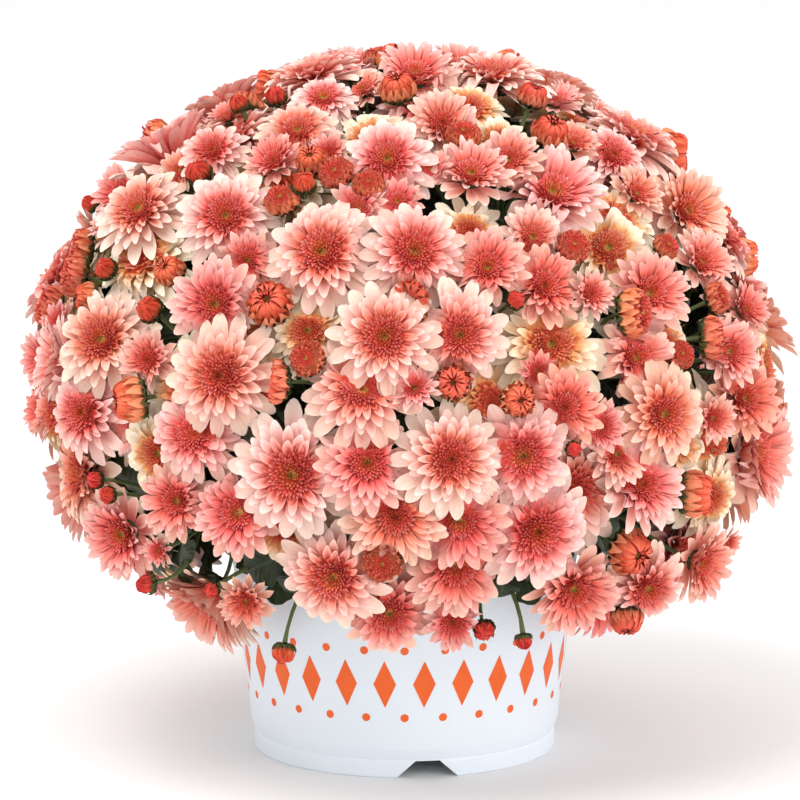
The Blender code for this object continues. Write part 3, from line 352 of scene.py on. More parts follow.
# The darker and the lighter colour, the mottling's scale, the roughness, and the grain's scale, strength
# and depth
PLASTIC = (0.79, 0.86, 0.93), (0.85, 0.91, 0.965), 9, 0.36, 900, 0.06, 0.0002
INK = (0.88, 0.115, 0.004), (0.93, 0.135, 0.006), 60, 0.5, 300, 0.02, 0.0002
PEAT = (0.022, 0.014, 0.009), (0.06, 0.038, 0.024), 220, 0.95, 400, 0.8, 0.002
PETAL_ROUGH, LEAF_ROUGH, STEM_ROUGH = 0.62, 0.5, 0.55
PETAL_RIBS, LEAF_VEINS = 9.0, 60.0  # radians of waves from a petal's rib to its side, and along a leaf
BLOTCH_SCALE = 260
BLOTCH_TONE, RIB_TONE, EDGE_TONE = 0.12, 0.012, 0.06  # what each adds to a petal's tone
PETAL_SPECULAR, PETAL_SHEEN, PETAL_BUMP = 0.25, 0.12, (0.25, 0.0003)
VEINS_FORWARD, VEIN_BUMP = 9.0, (0.3, 0.0004)
MIDRIB_HALF, MIDRIB_SHARE, MIDRIB_PALER = 0.07, 0.45, 2.0  # half its width, its strength, its colour's gain
GREEN_SCALE = 90  # of the mottling
GREEN_MOTTLE, GREEN_SHADE = 0.6, 0.5  # how much the mottling and a leaf's own shade count

# The stage: each light's name, place, size, power and colour
FLOOR_HALF, FLOOR_COLOUR, FLOOR_ROUGH = 9, (0.95, 0.95, 0.95), 0.9
LIGHT_AIM = Vector((0, 0, 0.2))
LIGHTS = (
    ("key", (-0.8, -1.1, 2.4), 1.4, 31, (1.0, 0.98, 0.96)),
    ("fill", (1.6, -1.4, 0.9), 1.6, 15, (0.97, 0.98, 1.0)),
)


class Flower:
    """A flower: its middle, the way it faces, its radius, kind, turn, layer, spray and stalk's foot."""

    def __init__(self, middle, facing, radius, kind, turn):
        self.middle, self.facing, self.radius = middle, facing, radius
        self.kind, self.turn = kind, turn
        self.under, self.spray, self.foot = False, 0, None
        self.above = []


def polar(radius, angle, height=0.0):
    return Vector((radius * math.cos(angle), radius * math.sin(angle), height))


def flat_point(origin, way, up_size):
    """A ray's point on the half of the dome that is up_size high, nearest its start."""
    scale = Vector((1 / DOME_ACROSS, 1 / DOME_ACROSS, 1 / up_size))
    start = (origin - Vector((0, 0, DOME_LEVEL))) * scale
    step = way * scale
    a, b, c = step.dot(step), start.dot(step), start.dot(start) - 1
    inside = b * b - a * c
    near = (-b - math.sqrt(max(inside, 0.0))) / a
    spot = (start + step * near).normalized()
    return Vector((spot.x / scale.x, spot.y / scale.y, spot.z / scale.z + DOME_LEVEL))


def on_dome(origin, way):
    point = flat_point(origin, way, DOME_UP)
    if point.z < DOME_LEVEL:
        point = flat_point(origin, way, DOME_DOWN)
    return point


def dome_reach(way):
    """How far the dome is from CROWN in a direction."""
    far = CROWN + way * OUTSIDE
    return (on_dome(far, -way) - CROWN).length


def dome_normal(point):
    up_size = DOME_UP if point.z > DOME_LEVEL else DOME_DOWN
    normal = Vector((point.x / DOME_ACROSS**2, point.y / DOME_ACROSS**2,
                     (point.z - DOME_LEVEL) / up_size**2))
    return normal.normalized()


def view_axes():
    forward = Vector((0.0, math.cos(VIEW_DOWN), -math.sin(VIEW_DOWN)))
    right = Vector((1.0, 0.0, 0.0))
    return right, right.cross(forward), forward


def view_ray(across, down):
    """The eye, and the direction in which it sees a pixel of the view."""
    right, above, forward = view_axes()
    eye = VIEW_AIM - forward * VIEW_DISTANCE
    offset = right * (across - VIEW_SIZE / 2) + above * (VIEW_SIZE / 2 - down)
    return eye, (forward * VIEW_DISTANCE + offset * VIEW_PIXEL).normalized()


def make_flower(point, diameter, kind, draw, toward_view=0.0):
    """A flower over a point of the dome, turned out, a little up and by the lean of its kind."""
    right, above, forward = view_axes()
    normal = dome_normal(point)
    facing = (normal + UP * UPWARD - forward * toward_view).normalized()
    side = {"l": -right, "r": right, "u": above, "d": -above}.get(kind[1:])
    if side:
        side = (side - facing * side.dot(facing)).normalized()
        facing = (facing * math.cos(LEAN) + side * math.sin(LEAN)).normalized()
    wobble = Vector((draw.uniform(-1, 1), draw.uniform(-1, 1), draw.uniform(-1, 1)))
    facing = (facing + wobble * math.tan(TILT_VARIES)).normalized()
    lift = LIFT[kind[0]] + draw.uniform(-1, 1) * LIFT_VARIES
    turn = draw.uniform(0, math.tau)
    return Flower(point + normal * lift, facing, diameter / 2 * MM, kind[0], turn)


def seen_flowers():
    draw = random.Random(SEEN_SEED)
    flowers = []
    for across, down, diameter, kind in SEEN:
        point = on_dome(*view_ray(across, down))
        wide = diameter * SEEN_WIDER[kind[0]]
        toward_view = TOWARD_VIEW.get(kind, LEANING_TOWARD_VIEW)
        flowers.append(make_flower(point, wide, kind, draw, toward_view))
    return flowers


def random_place(draw):
    way = Vector((draw.gauss(0, 1), draw.gauss(0, 1), draw.gauss(0, 1))).normalized()
    return on_dome(Vector((0, 0, DOME_LEVEL)) + way, -way)


def drawn_in(point):
    """The point, nearer the axis if it is low, where the flowers by the rule hang in."""
    share = 1.0 - LOW_SLOPE * max(LOW_LEVEL - point.z, 0.0)
    return Vector((point.x * share, point.y * share, point.z))


def tries(draw, diameters, kinds):
    """Random places on the dome, each with a diameter and a kind."""
    for _ in range(FILL_TRIES):
        yield random_place(draw), draw.uniform(*diameters), draw.choice(kinds)


def clear(point, reach, others, share):
    """Whether a flower here is further from all others than this share of their radii."""
    return all((point - other.middle).length > (reach + other.radius) * share for other in others)


def fill_flowers(flowers):
    """Flowers that fill the sides and the back, the widest first, each clear of those before it."""
    draw = random.Random(FILL_SEED)
    view_from = -view_axes()[2]
    for most, diameters, kinds in FILL_ROUNDS:
        placed = 0
        for point, diameter, kind in tries(draw, diameters, kinds):
            facing_view = dome_normal(point).dot(view_from) > FILL_FACING_AWAY
            if placed == most or point.z < DOME_LOWEST or facing_view:
                continue
            point = drawn_in(point)
            if clear(point, diameter / 2 * MM, flowers, FILL_SPACING):
                flowers.append(make_flower(point, diameter, kind, draw))
                placed += 1
    return flowers


def under_flowers(upper):
    """Flowers of the lower layer, which show between those of the upper one."""
    draw = random.Random(UNDER_SEED)
    lower = []
    for point, diameter, kind in tries(draw, UNDER_DIAMETERS, UNDER_KINDS):
        if len(lower) == UNDER_COUNT or point.z < UNDER_LOWEST:
            continue
        point = drawn_in(point)
        inner = point - dome_normal(point) * UNDER_DEPTH
        if clear(point, 0, upper, UNDER_CLEAR) and clear(inner, diameter / 2 * MM, lower, UNDER_SPACING):
            flower = make_flower(point, diameter, kind, draw)
            flower.middle, flower.under = inner, True
            lower.append(flower)
    return lower


def spray_ways():
    """The direction of each spray from CROWN, with the angle and radius of its stem's hole."""
    ways = []
    for ring, (level, count) in enumerate(SPRAY_RINGS):
        for index in range(count):
            angle = math.tau * (index + 0.5 * (ring % 2)) / count - math.pi / 2
            level_turn = math.radians(level)
            way = polar(math.cos(level_turn), angle, math.sin(level_turn))
            ways.append((way, polar(HOLE_CIRCLES[ring], angle)))
    return ways


def share_out(flowers, ways):
    """Gives each flower the spray whose direction is nearest, or the one of what it stands before."""
    for flower in flowers:
        out = flower.middle - CROWN
        flower.spray = max(range(len(ways)), key=lambda index: ways[index][0].dot(out))
    by_size = sorted(flowers, key=lambda flower: -flower.radius)
    for place, flower in enumerate(by_size):
        for wider in by_size[:place]:
            apart = flower.middle - wider.middle
            beside = apart - wider.facing * apart.dot(wider.facing)
            before = apart.length < BEFORE_ALONG * wider.radius
            if before and beside.length < BEFORE_ACROSS * wider.radius:
                flower.spray = wider.spray
                break


def linked(name, data):
    """A new object of a mesh, light or camera, in the scene."""
    thing = bpy.data.objects.new(name, data)
    bpy.context.scene.collection.objects.link(thing)
    return thing


def set_radii(flowers):
    """Makes flowers at the front smaller and those of the lower layer wider than their solids."""
    for flower in flowers:
        nearer = NEARER * max(-flower.middle.y, 0.0) / DOME_ACROSS
        flower.radius *= UNDER_WIDER if flower.under else 1.0 - nearer


def set_feet(flowers, ways):
    """Joins the stalks of each spray to its stem one after another, the outermost first."""
    for index, (way, _) in enumerate(ways):
        own = sorted((flower for flower in flowers if flower.spray == index),
                     key=lambda flower: (flower.middle - CROWN).normalized().dot(way))
        for place, flower in enumerate(own):
            share = place / max(len(own) - 1, 1)
            depth = FIRST_STALK_DEPTH + (LAST_STALK_DEPTH - FIRST_STALK_DEPTH) * share
            flower.foot = CROWN + way * (dome_reach(way) - depth)


class Heap:
    """Points, faces and the values that colour them, of one piece before it is made a mesh."""

    def __init__(self):
        self.points = []
        self.faces = []
        self.values = []
        self.count = 0

    def add(self, points, faces, values):
        self.points.append(points)
        self.faces += [[corner + self.count for corner in face] for face in faces]
        self.values.append(np.broadcast_to(values, (len(points), 4)))
        self.count += len(points)

    def piece(self, name, material, replaced, slot="petal"):
        mesh = bpy.data.meshes.new(name)
        mesh.from_pydata(np.concatenate(self.points).tolist(), [], self.faces)
        values = np.concatenate(self.values)
        for column, word in enumerate(("tone", "cream", "green", "across")):
            layer = mesh.attributes.new(word, "FLOAT", "POINT")
            layer.data.foreach_set("value", np.ascontiguousarray(values[:, column], dtype=np.float32))
        mesh.shade_smooth()
        mesh.materials.append(material)
        thing = linked(name, mesh)
        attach(thing, "root")
        if replaced:
            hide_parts(*replaced)


def grid_faces(copies, rows, columns):
    """Quads of as many grids of rows by columns as there are copies."""
    row, column = np.meshgrid(np.arange(rows - 1), np.arange(columns - 1), indexing="ij")
    first = (row * columns + column).ravel()
    quad = np.stack([first, first + 1, first + columns + 1, first + columns], axis=1)
    starts = np.arange(copies)[:, None, None] * (rows * columns)
    return (quad[None] + starts).reshape(-1, 4).tolist()


def ring_faces(rings, sides):
    """Quads between rings of points that each close on themselves."""
    return [[ring * sides + side, ring * sides + (side + 1) % sides,
             (ring + 1) * sides + (side + 1) % sides, (ring + 1) * sides + side]
            for ring in range(rings - 1) for side in range(sides)]


def circle(turns, out, height):
    """A ring of points, all at one height or each at its own."""
    return np.stack([np.cos(turns) * out, np.sin(turns) * out, np.broadcast_to(height, turns.shape)], axis=1)


def around(count):
    """As many turns, evenly spaced."""
    return np.arange(count) * math.tau / count


def spiral(count):
    """Shares of the way out, and turns, of that many florets in a spiral."""
    steps = np.arange(count)
    return (steps + 0.5) / count, steps * GOLDEN


def axes_of(flower):
    side = flower.facing.orthogonal().normalized()
    across = flower.facing.cross(side)
    return np.array([side, across, flower.facing])


def set_order(flowers):
    """Lists for each flower those near it that are in front of it."""
    for flower in flowers:
        for other in flowers:
            apart = other.middle - flower.middle
            if other is flower or apart.length > (other.radius + flower.radius) * PRESS_RANGE:
                continue
            in_front = apart.dot(other.facing + flower.facing) > 0
            if flower.under != other.under:
                in_front = flower.under
            if in_front:
                flower.above.append(other)


def press(flower, points):
    """Moves points of a flower that would cut through one in front of it down under that one."""
    reach = PRESS_OUT - (ROUND_LESS if flower.kind in "HB" else 0.0)
    for other in flower.above:
        facing = np.array(other.facing)
        apart = points - np.array(other.middle)
        height = apart @ facing
        beside = np.linalg.norm(apart - height[:, None] * facing, axis=1) / other.radius
        share = np.clip((reach - beside) / PRESS_FADE, 0, 1)
        depth = UNDERSIDE[other.kind] + PRESS_DROOP * np.clip(beside - DROOP_FROM, 0, DROOP_SPAN)
        over = np.clip(height + depth * other.radius, 0, PRESS_HIGH * other.radius)
        points = points - (share * over * PRESS_SHARE)[:, None] * facing
    return points


def settled(flower, points):
    """Points given in a flower's own axes and radii, where they are once its neighbours press it."""
    return press(flower, points * flower.radius @ axes_of(flower) + np.array(flower.middle))


def florets(heap, flower, draw, shape, turns, root, middle, tip, half_width, cup, tones,
            cream=(0.0, 0.0), green=(0.0, 0.0), edge=0.0):
    """Petals at these turns, bent from root by middle to tip.

    Each of those three is (out, up) from the head's middle. tones, cream and green are the values at root
    and tip, and edge is what the tone gains at the sides; below zero it is painted shade at the seams
    between petals.
    """
    stations, outline, columns = shape
    count = len(turns)

    def each(value):
        return np.broadcast_to(value, (count,))[:, None, None]

    x = np.linspace(-1, 1, columns)[None, None, :]
    s = np.array(stations)[None, :, None] * (1 - TIP_ROUND * x**2)
    outline = np.array(outline)[None, :, None]
    share = s[..., None]
    root, middle, tip = (np.stack([each(out), each(up)], axis=3) for out, up in (root, middle, tip))
    line = root * (1 - share) ** 2 + middle * 2 * share * (1 - share) + tip * share**2
    slope = (middle - root) * (1 - share) + (tip - middle) * share
    slope = slope / (np.linalg.norm(slope, axis=3, keepdims=True) + TINY)
    half_width = each(half_width)
    width = half_width * outline * x
    twist = each(draw.normal(0, PETAL_TWIST, count)) * s
    lift = each(cup) * half_width * (x**2 - CUP_RIB) * outline + width * twist
    length = np.linalg.norm(tip - root, axis=3)
    aside = width + each(draw.normal(0, PETAL_ASIDE, count)) * s**2 * length
    out = line[..., 0] - slope[..., 1] * lift
    up = line[..., 1] + slope[..., 0] * lift
    cosine, sine = each(np.cos(turns)), each(np.sin(turns))
    local = np.stack([out * cosine - aside * sine, out * sine + aside * cosine, up], axis=3)
    values = [np.broadcast_to(each(start) * (1 - s) + each(end) * s, out.shape)
              for start, end in (tones, cream, green)]
    # where edge is below zero this darkens the sides: painted shade at the seams between petals
    values[0] = values[0] + edge * x**2
    values.append(np.broadcast_to(x, out.shape))
    heap.add(settled(flower, local.reshape(-1, 3)), grid_faces(count, len(stations), columns),
             np.stack(values, axis=3).reshape(-1, 4))


def counted(flower, table):
    radii, counts = zip(*table)
    return int(np.interp(flower.radius, radii, counts))


def core_level(out, kind):
    """Height of the middle's tips: a low rim round a sunk eye."""
    rise = PINK_RISE if kind == "K" else 0.0
    return np.interp(out, CORE_SHARES, np.add(CORE_HEIGHTS, rise))


def core_bed(heap, flower, cream):
    """The floor under the florets of the middle."""
    turns = around(BED_SIDES)
    rings = [circle(turns, out, core_level(out, flower.kind) - BED_DEPTH - 0.3 * max(out - 0.4, 0))
             for out in np.linspace(0.02, CORE_OUT + 0.04, BED_RINGS)]
    faces = ring_faces(BED_RINGS, BED_SIDES) + [list(range(BED_SIDES))[::-1]]
    heap.add(settled(flower, np.concatenate(rings)), faces,
             np.array((BED_TONE, max(cream * 0.5, 0.3), 0.0, 0.0)))


def painted_top_light(flower):
    """Painted light from above: how much paler a flower that faces up is painted."""
    return TOP_PAINTED_LIGHT * max(flower.facing.z - TOP_PAINTED_LIGHT_FROM, 0.0)


def core(heap, flower, draw, cream):
    """Quills in a spiral, small and warm at the eye, wider and pinker towards the rim."""
    count = counted(flower, CORE_COUNTS) // (UNDER_FEWER if flower.under else 1)
    share, turns = spiral(count)
    half_width = 0.70 * CORE_OUT / math.sqrt(count) * (0.95 + 0.25 * share)
    out = np.sqrt(EYE_OUT**2 + (CORE_OUT**2 - EYE_OUT**2) * share) + draw.normal(0, 0.008, count)
    up = core_level(out, flower.kind) + draw.normal(0, 0.018, count)
    lean = np.interp(share, *CORE_LEAN)
    fresh = draw.uniform(0.4, 1.0)
    warm = np.maximum(cream, np.clip(1.1 - share / 0.45, 0, 1) * fresh)
    # the quills' tones, at root and tip, take painted light from above on flowers that face up
    tone = np.interp(share, *CORE_TONE) + draw.normal(0, 0.05, count) + painted_top_light(flower) - CORE_PAINTED_SEAM_SHADE * 0.35
    florets(heap, flower, draw, QUILL, turns + flower.turn, (np.maximum(out - lean - 0.02, 0.01), up - 0.14),
            (out - lean * 0.45 + 0.012, up - 0.035), (out, up), half_width, 1.1,
            (0.08 + painted_top_light(flower), tone), (warm, warm * 0.9), edge=CORE_PAINTED_SEAM_SHADE)
    if not flower.under:
        green = draw.uniform(0.55, 1.0) * (fresh > 0.55)
        eye(heap, flower, draw, EYE_OUT * 1.15, (0.05, 0.12, 0.18), 0.75, 0.036,
            (0.05 + 0.25 * green, 0.15 + 0.25 * green), (0.9, 0.9), (green * 0.7, green))


def eye(heap, flower, draw, wide, levels, inward, half_width, tones, cream, green):
    """The smallest quills, in the middle of a head, with the levels of their roots, middles and tips."""
    share, turns = spiral(EYE_COUNT)
    out = wide * np.sqrt(share)
    florets(heap, flower, draw, QUILL, turns, *zip((out, out, out * inward), levels), half_width, 0.8,
            tones, cream, green)


def short_petals(heap, flower, draw, cream, pale):
    count = counted(flower, RING_COUNTS)
    share, turns = spiral(count)
    turns = turns + draw.uniform(0, math.tau)
    out = 0.45 + 0.20 * share + draw.normal(0, 0.012, count)
    up = core_level(out, flower.kind) + draw.normal(0, 0.015, count) - 0.01
    tone = 0.50 + 0.26 * share * pale + draw.normal(0, 0.03, count)
    florets(heap, flower, draw, SHORT_PETAL, turns, (out - 0.24, up - 0.20), (out - 0.07, up - 0.02),
            (out, up), 0.046 + 0.042 * share, 0.9, (0.05, tone), (cream, cream))


def rim_petals(heap, flower, draw, cream, pale, shape):
    count = counted(flower, RIM_COUNTS)
    share, turns = spiral(count)
    turns = turns + flower.turn + draw.normal(0, 0.06, count)
    out = np.interp(share, RIM_STEPS, RIM_OUT) * (1 + draw.normal(0, 0.035, count))
    up = np.interp(share, RIM_STEPS, RIM_UP[flower.kind]) + draw.normal(0, 0.03, count)
    root_out, root_up = 0.25, 0.06 - 0.14 * share
    middle = (root_out + out) / 2, (root_up + up) / 2 + (0.09 + 0.03 * share)
    half_width = np.interp(share, RIM_STEPS, RIM_HALF_WIDTH) * (1 + draw.normal(0, 0.08, count))
    half_width = half_width * np.interp(flower.radius, *SMALL_WIDER)
    cup = np.interp(share, *RIM_CUP) + draw.normal(0, 0.12, count)
    tone = pale * np.interp(share, *RIM_TONE) + draw.normal(0, 0.03, count)
    florets(heap, flower, draw, shape, turns, (root_out, root_up), middle, (out, up), half_width, cup,
            (np.interp(share, *RIM_ROOT_TONE) * pale, tone), (cream, cream))


def skirt_petals(heap, flower, draw, cream, pale, shape):
    count = counted(flower, SKIRT_COUNTS)
    turns = around(count) + flower.turn + draw.normal(0, 0.08, count)
    out = SKIRT_OUT[flower.kind] * (1 + draw.normal(0, 0.03, count))
    up = SKIRT_UP[flower.kind] + draw.normal(0, 0.04, count)
    florets(heap, flower, draw, shape, turns, (0.3, -0.14), (out * 0.65, 0.02 + up * 0.5), (out, up),
            0.16, 0.4, (0.62 * pale, min(pale + 0.02, 1.0)), (cream, min(cream + 0.35, 1.0)))


def open_flower(heap, flower, draw):
    """A double flower: quills in the middle, short petals round them and long ones at the rim."""
    shape = LONG_PETAL if flower.radius > FINE_FROM else NARROW_PETAL
    tinge = float(np.clip(draw.normal(*CREAM_TINGE), 0, MOST_TINGE))
    cream = 1.0 if flower.kind == "C" else tinge
    # pale takes in painted light from above on flowers that face up
    pale = PALE[flower.kind] + draw.normal(0, PALE_VARIES) + painted_top_light(flower)
    core_bed(heap, flower, cream)
    core(heap, flower, draw, cream * 0.5)
    short_petals(heap, flower, draw, cream, pale)
    rim_petals(heap, flower, draw, cream, pale, shape)
    skirt_petals(heap, flower, draw, cream, pale, shape)


def wrapped(heap, flower, draw, shape, count, start, bulge, close, half_width, tones, cream, edge=0.0):
    """A ring of petals or sepals that hug a head from its neck up."""
    turns = start + around(count) + draw.normal(0, 0.05, count)
    wider, longer = 1 + draw.normal(0, 0.03, count), 1 + draw.normal(0, 0.05, count)
    florets(heap, flower, draw, shape, turns, WRAP_ROOT, [place * wider for place in bulge],
            [place * longer for place in close], half_width, WRAP_CUP, tones, cream, edge=edge)


def half_open(heap, flower, draw):
    """A barrel of ridged petals, with red florets in its mouth or petals that close over it."""
    warm = float(np.clip(draw.normal(*HALF_OPEN_WARM), 0.35, 1))
    closed = draw.random() < GLOBE_SHARE
    for ring, (bulge, close) in enumerate(BALL_RINGS if closed else BARREL_RINGS):
        wrapped(heap, flower, draw, BARREL_PETAL, BARREL_COUNT, flower.turn + ring * 0.24, bulge, close,
                0.235, (0.46, 0.42 - 0.06 * ring), (min(warm + 0.3, 1.0), warm * 0.55), WRAP_PAINTED_SEAM_SHADE)
    core_bed(heap, flower, 0.0)
    if closed:
        globe(heap, flower, draw, warm)
    else:
        mouth(heap, flower, draw)


def globe(heap, flower, draw, warm):
    """Ridged petals that still close around a small eye in the middle of a head, in two rings."""
    for ring, (wide, high, gap, level) in enumerate(CLOSING_RINGS):
        count = BARREL_COUNT - ring * 2
        turns = (np.arange(count) + 0.5 * ring) * math.tau / count + draw.normal(0, 0.05, count)
        tip = gap + draw.normal(0, 0.025, count), level + draw.normal(0, 0.02, count)
        florets(heap, flower, draw, CLOSING_PETAL, turns, (wide, 0.10), (wide, high), tip, 0.20, -0.7,
                (0.28, 0.35 - 0.10 * ring), (warm * 0.7, warm * 0.3), edge=MOUTH_PAINTED_SEAM_SHADE)
    small_eye(heap, flower, draw, 0.20, 0.50)


def mouth(heap, flower, draw):
    """Red florets in the open mouth of a head: at its edge, then inside it, then a small eye."""
    share, turns = spiral(MOUTH_EDGE)
    out = 0.70 + 0.16 * share
    florets(heap, flower, draw, QUILL, turns, (out * 0.85, 0.1), (out, 0.42),
            (out * 1.08, 0.58 - 0.1 * share), 0.095, 0.9, (0.22, 0.60), (0.1, 0.3), edge=MOUTH_PAINTED_SEAM_SHADE)
    share, turns = spiral(MOUTH_COUNT)
    out = 0.04 + 0.64 * np.sqrt(share)
    up = 0.40 + 0.18 * share + draw.normal(0, 0.03, MOUTH_COUNT)
    tone = 0.42 + 0.12 * share + draw.normal(0, 0.10, MOUTH_COUNT)
    lean = 0.06 + 0.10 * share
    florets(heap, flower, draw, QUILL, turns, (np.maximum(out - lean, 0.01), up - 0.16),
            (out - lean * 0.4, up - 0.03), (out, up), 0.076 + 0.016 * share, 1.0, (0.02, tone),
            (0.2, 0.5 - 0.4 * share), edge=MOUTH_PAINTED_SEAM_SHADE)
    small_eye(heap, flower, draw, 0.14, 0.46)


def small_eye(heap, flower, draw, wide, level):
    """The green florets in the middle of a head that still opens."""
    eye(heap, flower, draw, wide, (level - 0.20, level - 0.08, level), 0.8, 0.05,
        (0.10, 0.26), (0.8, 0.8), (0.3, 0.7))


def bud(heap, flower, draw):
    warm = float(np.clip(draw.normal(*BUD_WARM), 0, 1))
    for ring, (bulge, close) in enumerate(BUD_RINGS):
        wrapped(heap, flower, draw, LONG_PETAL, BUD_COUNT, flower.turn + ring * 0.4, bulge, close, 0.36,
                (0.34, 0.20), (min(warm + 0.3, 1.0), warm * 0.5), WRAP_PAINTED_SEAM_SHADE)


def calyx(heap, flower, draw):
    """Green sepals behind a head: flat under an open flower, up to the waist of a bud."""
    if flower.kind in "HB":
        high = 0.16 if flower.kind == "B" else -0.16
        for ring in range(2):
            wrapped(heap, flower, draw, SHORT_PETAL, BUD_COUNT, ring * 0.39, (0.98, -0.70),
                    (0.96 - 0.08 * ring, high - 0.12 * ring), 0.24, (0.4, 0.8), (0, 0))
    else:
        depth = NECK_DEPTH[flower.kind]
        florets(heap, flower, draw, SHORT_PETAL, around(SEPAL_COUNT), (0.04, -depth), (0.30, -depth),
                (0.44, -0.12), 0.15, -0.4, (0.3, 0.7))


def unit(way):
    return way / np.linalg.norm(way)


def tube(heap, points, radii, sides, tone):
    """A round stem through the points."""
    points = np.array([np.array(point) for point in points])
    radii = np.broadcast_to(radii, (len(points),))
    turns = around(sides)
    side = np.cross(points[1] - points[0], (0.3, 0.5, 0.8))
    rings = []
    for index, point in enumerate(points):
        way = unit(points[min(index + 1, len(points) - 1)] - points[max(index - 1, 0)])
        side = unit(side - way * side.dot(way))
        ring = np.cos(turns)[:, None] * side + np.sin(turns)[:, None] * np.cross(way, side)
        rings.append(point + ring * radii[index])
    heap.add(np.concatenate(rings), ring_faces(len(points), sides), np.array((tone, 0.0, 0.0, 0.0)))


def bezier(*controls, count):
    """Points of a smooth curve with any number of control points."""
    shares = np.linspace(0, 1, count)[:, None]
    layers = [np.array(control)[None] * np.ones((count, 1)) for control in controls]
    while len(layers) > 1:
        layers = [low * (1 - shares) + high * shares for low, high in zip(layers, layers[1:])]
    return layers[0]


def stalk(heap, flower):
    neck = flower.middle - flower.facing * (NECK_DEPTH[flower.kind] - STALK_TUCK) * flower.radius
    knee = neck - flower.facing * (neck - flower.foot).length * STALK_KNEE
    radii = np.linspace(1.0, STALK_WIDER, STALK_POINTS) * STALK_RADIUS
    radii[0] *= STALK_NECK
    tube(heap, bezier(neck, knee, flower.foot, count=STALK_POINTS), radii, STALK_SIDES, STALK_TONE)


def leaf(heap, start, bend, tip, across, shade, columns=LEAF_COLUMNS):
    """A lobed, folded leaf on an arched rib, with a thin stalk up to BLADE_START."""
    line = bezier(start, bend, tip, count=LEAF_POINTS)
    last = len(line) - 2
    blade = np.linalg.norm(np.diff(line, axis=0), axis=1).sum() * (1 - BLADE_START)
    across = np.array(across)
    points, values = [], []
    for share, width in zip(LEAF_SHARES, LEAF_WIDTHS):
        place = (BLADE_START + (1 - BLADE_START) * share) * (len(line) - 1)
        low = min(int(place), last)
        centre = line[low] + (line[low + 1] - line[low]) * (place - low)
        along = unit(line[low + 1] - line[low])
        side = unit(across - along * across.dot(along))
        out = np.cross(side, along)
        half = width * blade
        for column in columns:
            fold = (LEAF_FOLD * abs(column) - LEAF_CURL * column**2) * half
            points.append(centre + side * column * half + along * abs(column) * half * LEAF_FORWARD
                          + out * fold)
            values.append((shade, 0.0, share, column))
    heap.add(np.array(points), grid_faces(1, len(LEAF_SHARES), len(columns)), np.array(values))
    tube(heap, line[LEAF_STALK_POINTS], LEAF_STALK_RADIUS, LEAF_STALK_SIDES, shade)


def neighbours(index, ways):
    found = []
    way = ways[index][0]
    for other in range(index + 1, len(ways)):
        middle = (way + ways[other][0]).normalized()
        own = middle.dot(way)
        if own > BORDER_SHARE and all(middle.dot(third[0]) < own + BORDER_SLACK
                                      for place, third in enumerate(ways)
                                      if place not in (index, other)):
            found.append(other)
    return found[:LEAVES_EACH]


def leafy_stem(heap, index, ways, draw):
    way, hole = ways[index]
    reach = dome_reach(way)
    fork = CROWN + way * (reach - FORK_DEPTH - GAP)
    straight = STEM_STRAIGHT + STEM_STRAIGHTER * max(way.z, 0.0)
    foot = hole + UP * (SOIL_HEIGHT - HOLE_DEPTH + GAP)
    above = hole + UP * (SOIL_HEIGHT + STEM_RISE)
    corner = fork - way * straight
    bent = bezier(above, above.lerp(corner, STEM_BEND), corner, fork, count=STEM_POINTS)
    tube(heap, [np.array(foot)] + list(bent), STEM_RADIUS, STEM_SIDES, STEM_TONE)
    start = fork - way * LEAF_START
    for turn, other in enumerate(neighbours(index, ways)):
        border = (way + ways[other][0]).normalized()
        along = border.cross(ways[other][0] - way).normalized() * (1 if turn % 2 else -1)
        across = (ways[other][0] - way).normalized()
        far = dome_reach(border) - LEAF_DEPTH - LOW_LEAF_DEEPER * (border.z < LOW_STEMS)
        bend = CROWN + border * (far - LEAF_BOW)
        tip = CROWN + border * far + along * LEAF_BOW
        leaf(heap, start, bend, tip, across, draw.uniform(*LEAF_SHADES))
    if way.z < LOW_STEMS:
        turn = math.atan2(way.y, way.x) + math.pi / SPRAY_RINGS[-1][1]
        bend = polar(LOW_LEAF_BEND, turn, LOW_LEAF_BEND_LEVEL)
        tip = polar(LOW_LEAF_TIP, turn, LOW_LEAF_TIP_LEVEL)
        leaf(heap, start, bend, tip, polar(1.0, turn + math.pi / 2), draw.uniform(*LEAF_SHADES))
    side = way.orthogonal().normalized()
    for count, first, wides, near, depths, starts, sunk, shades, columns in INNER_LEAVES:
        for place in range(count):
            turn = place * GOLDEN + index + first
            out = side * math.cos(turn) + way.cross(side) * math.sin(turn)
            wide = draw.uniform(*wides) * MM
            tip_way = (way * reach + out * wide).normalized()
            bend_way = (way * reach + out * wide * near).normalized()
            depth = draw.uniform(*depths) * MM
            start = CROWN + way * (reach - draw.uniform(*starts) * MM)
            bend = CROWN + bend_way * (dome_reach(bend_way) - depth - sunk * MM)
            tip = CROWN + tip_way * (dome_reach(tip_way) - depth)
            leaf(heap, start, bend, tip, way.cross(out), draw.uniform(*shades), columns)


def node_tree(name):
    material = bpy.data.materials.new(name)
    material.use_nodes = True
    tree = material.node_tree
    return material, tree, tree.nodes["Principled BSDF"]


def ramp(tree, factor, stops):
    node = tree.nodes.new("ShaderNodeValToRGB")
    elements = node.color_ramp.elements
    elements[0].position, elements[0].color = stops[0][0], (*stops[0][1], 1)
    elements[1].position, elements[1].color = stops[-1][0], (*stops[-1][1], 1)
    for position, colour in stops[1:-1]:
        elements.new(position).color = (*colour, 1)
    tree.links.new(factor, node.inputs["Fac"])
    return node.outputs["Color"]


def attribute(tree, name):
    node = tree.nodes.new("ShaderNodeAttribute")
    node.attribute_name = name
    return node.outputs["Fac"]


def feed(tree, socket, value):
    if isinstance(value, (int, float)):
        socket.default_value = value
    elif isinstance(value, tuple):
        socket.default_value = (*value, 1)
    else:
        tree.links.new(value, socket)


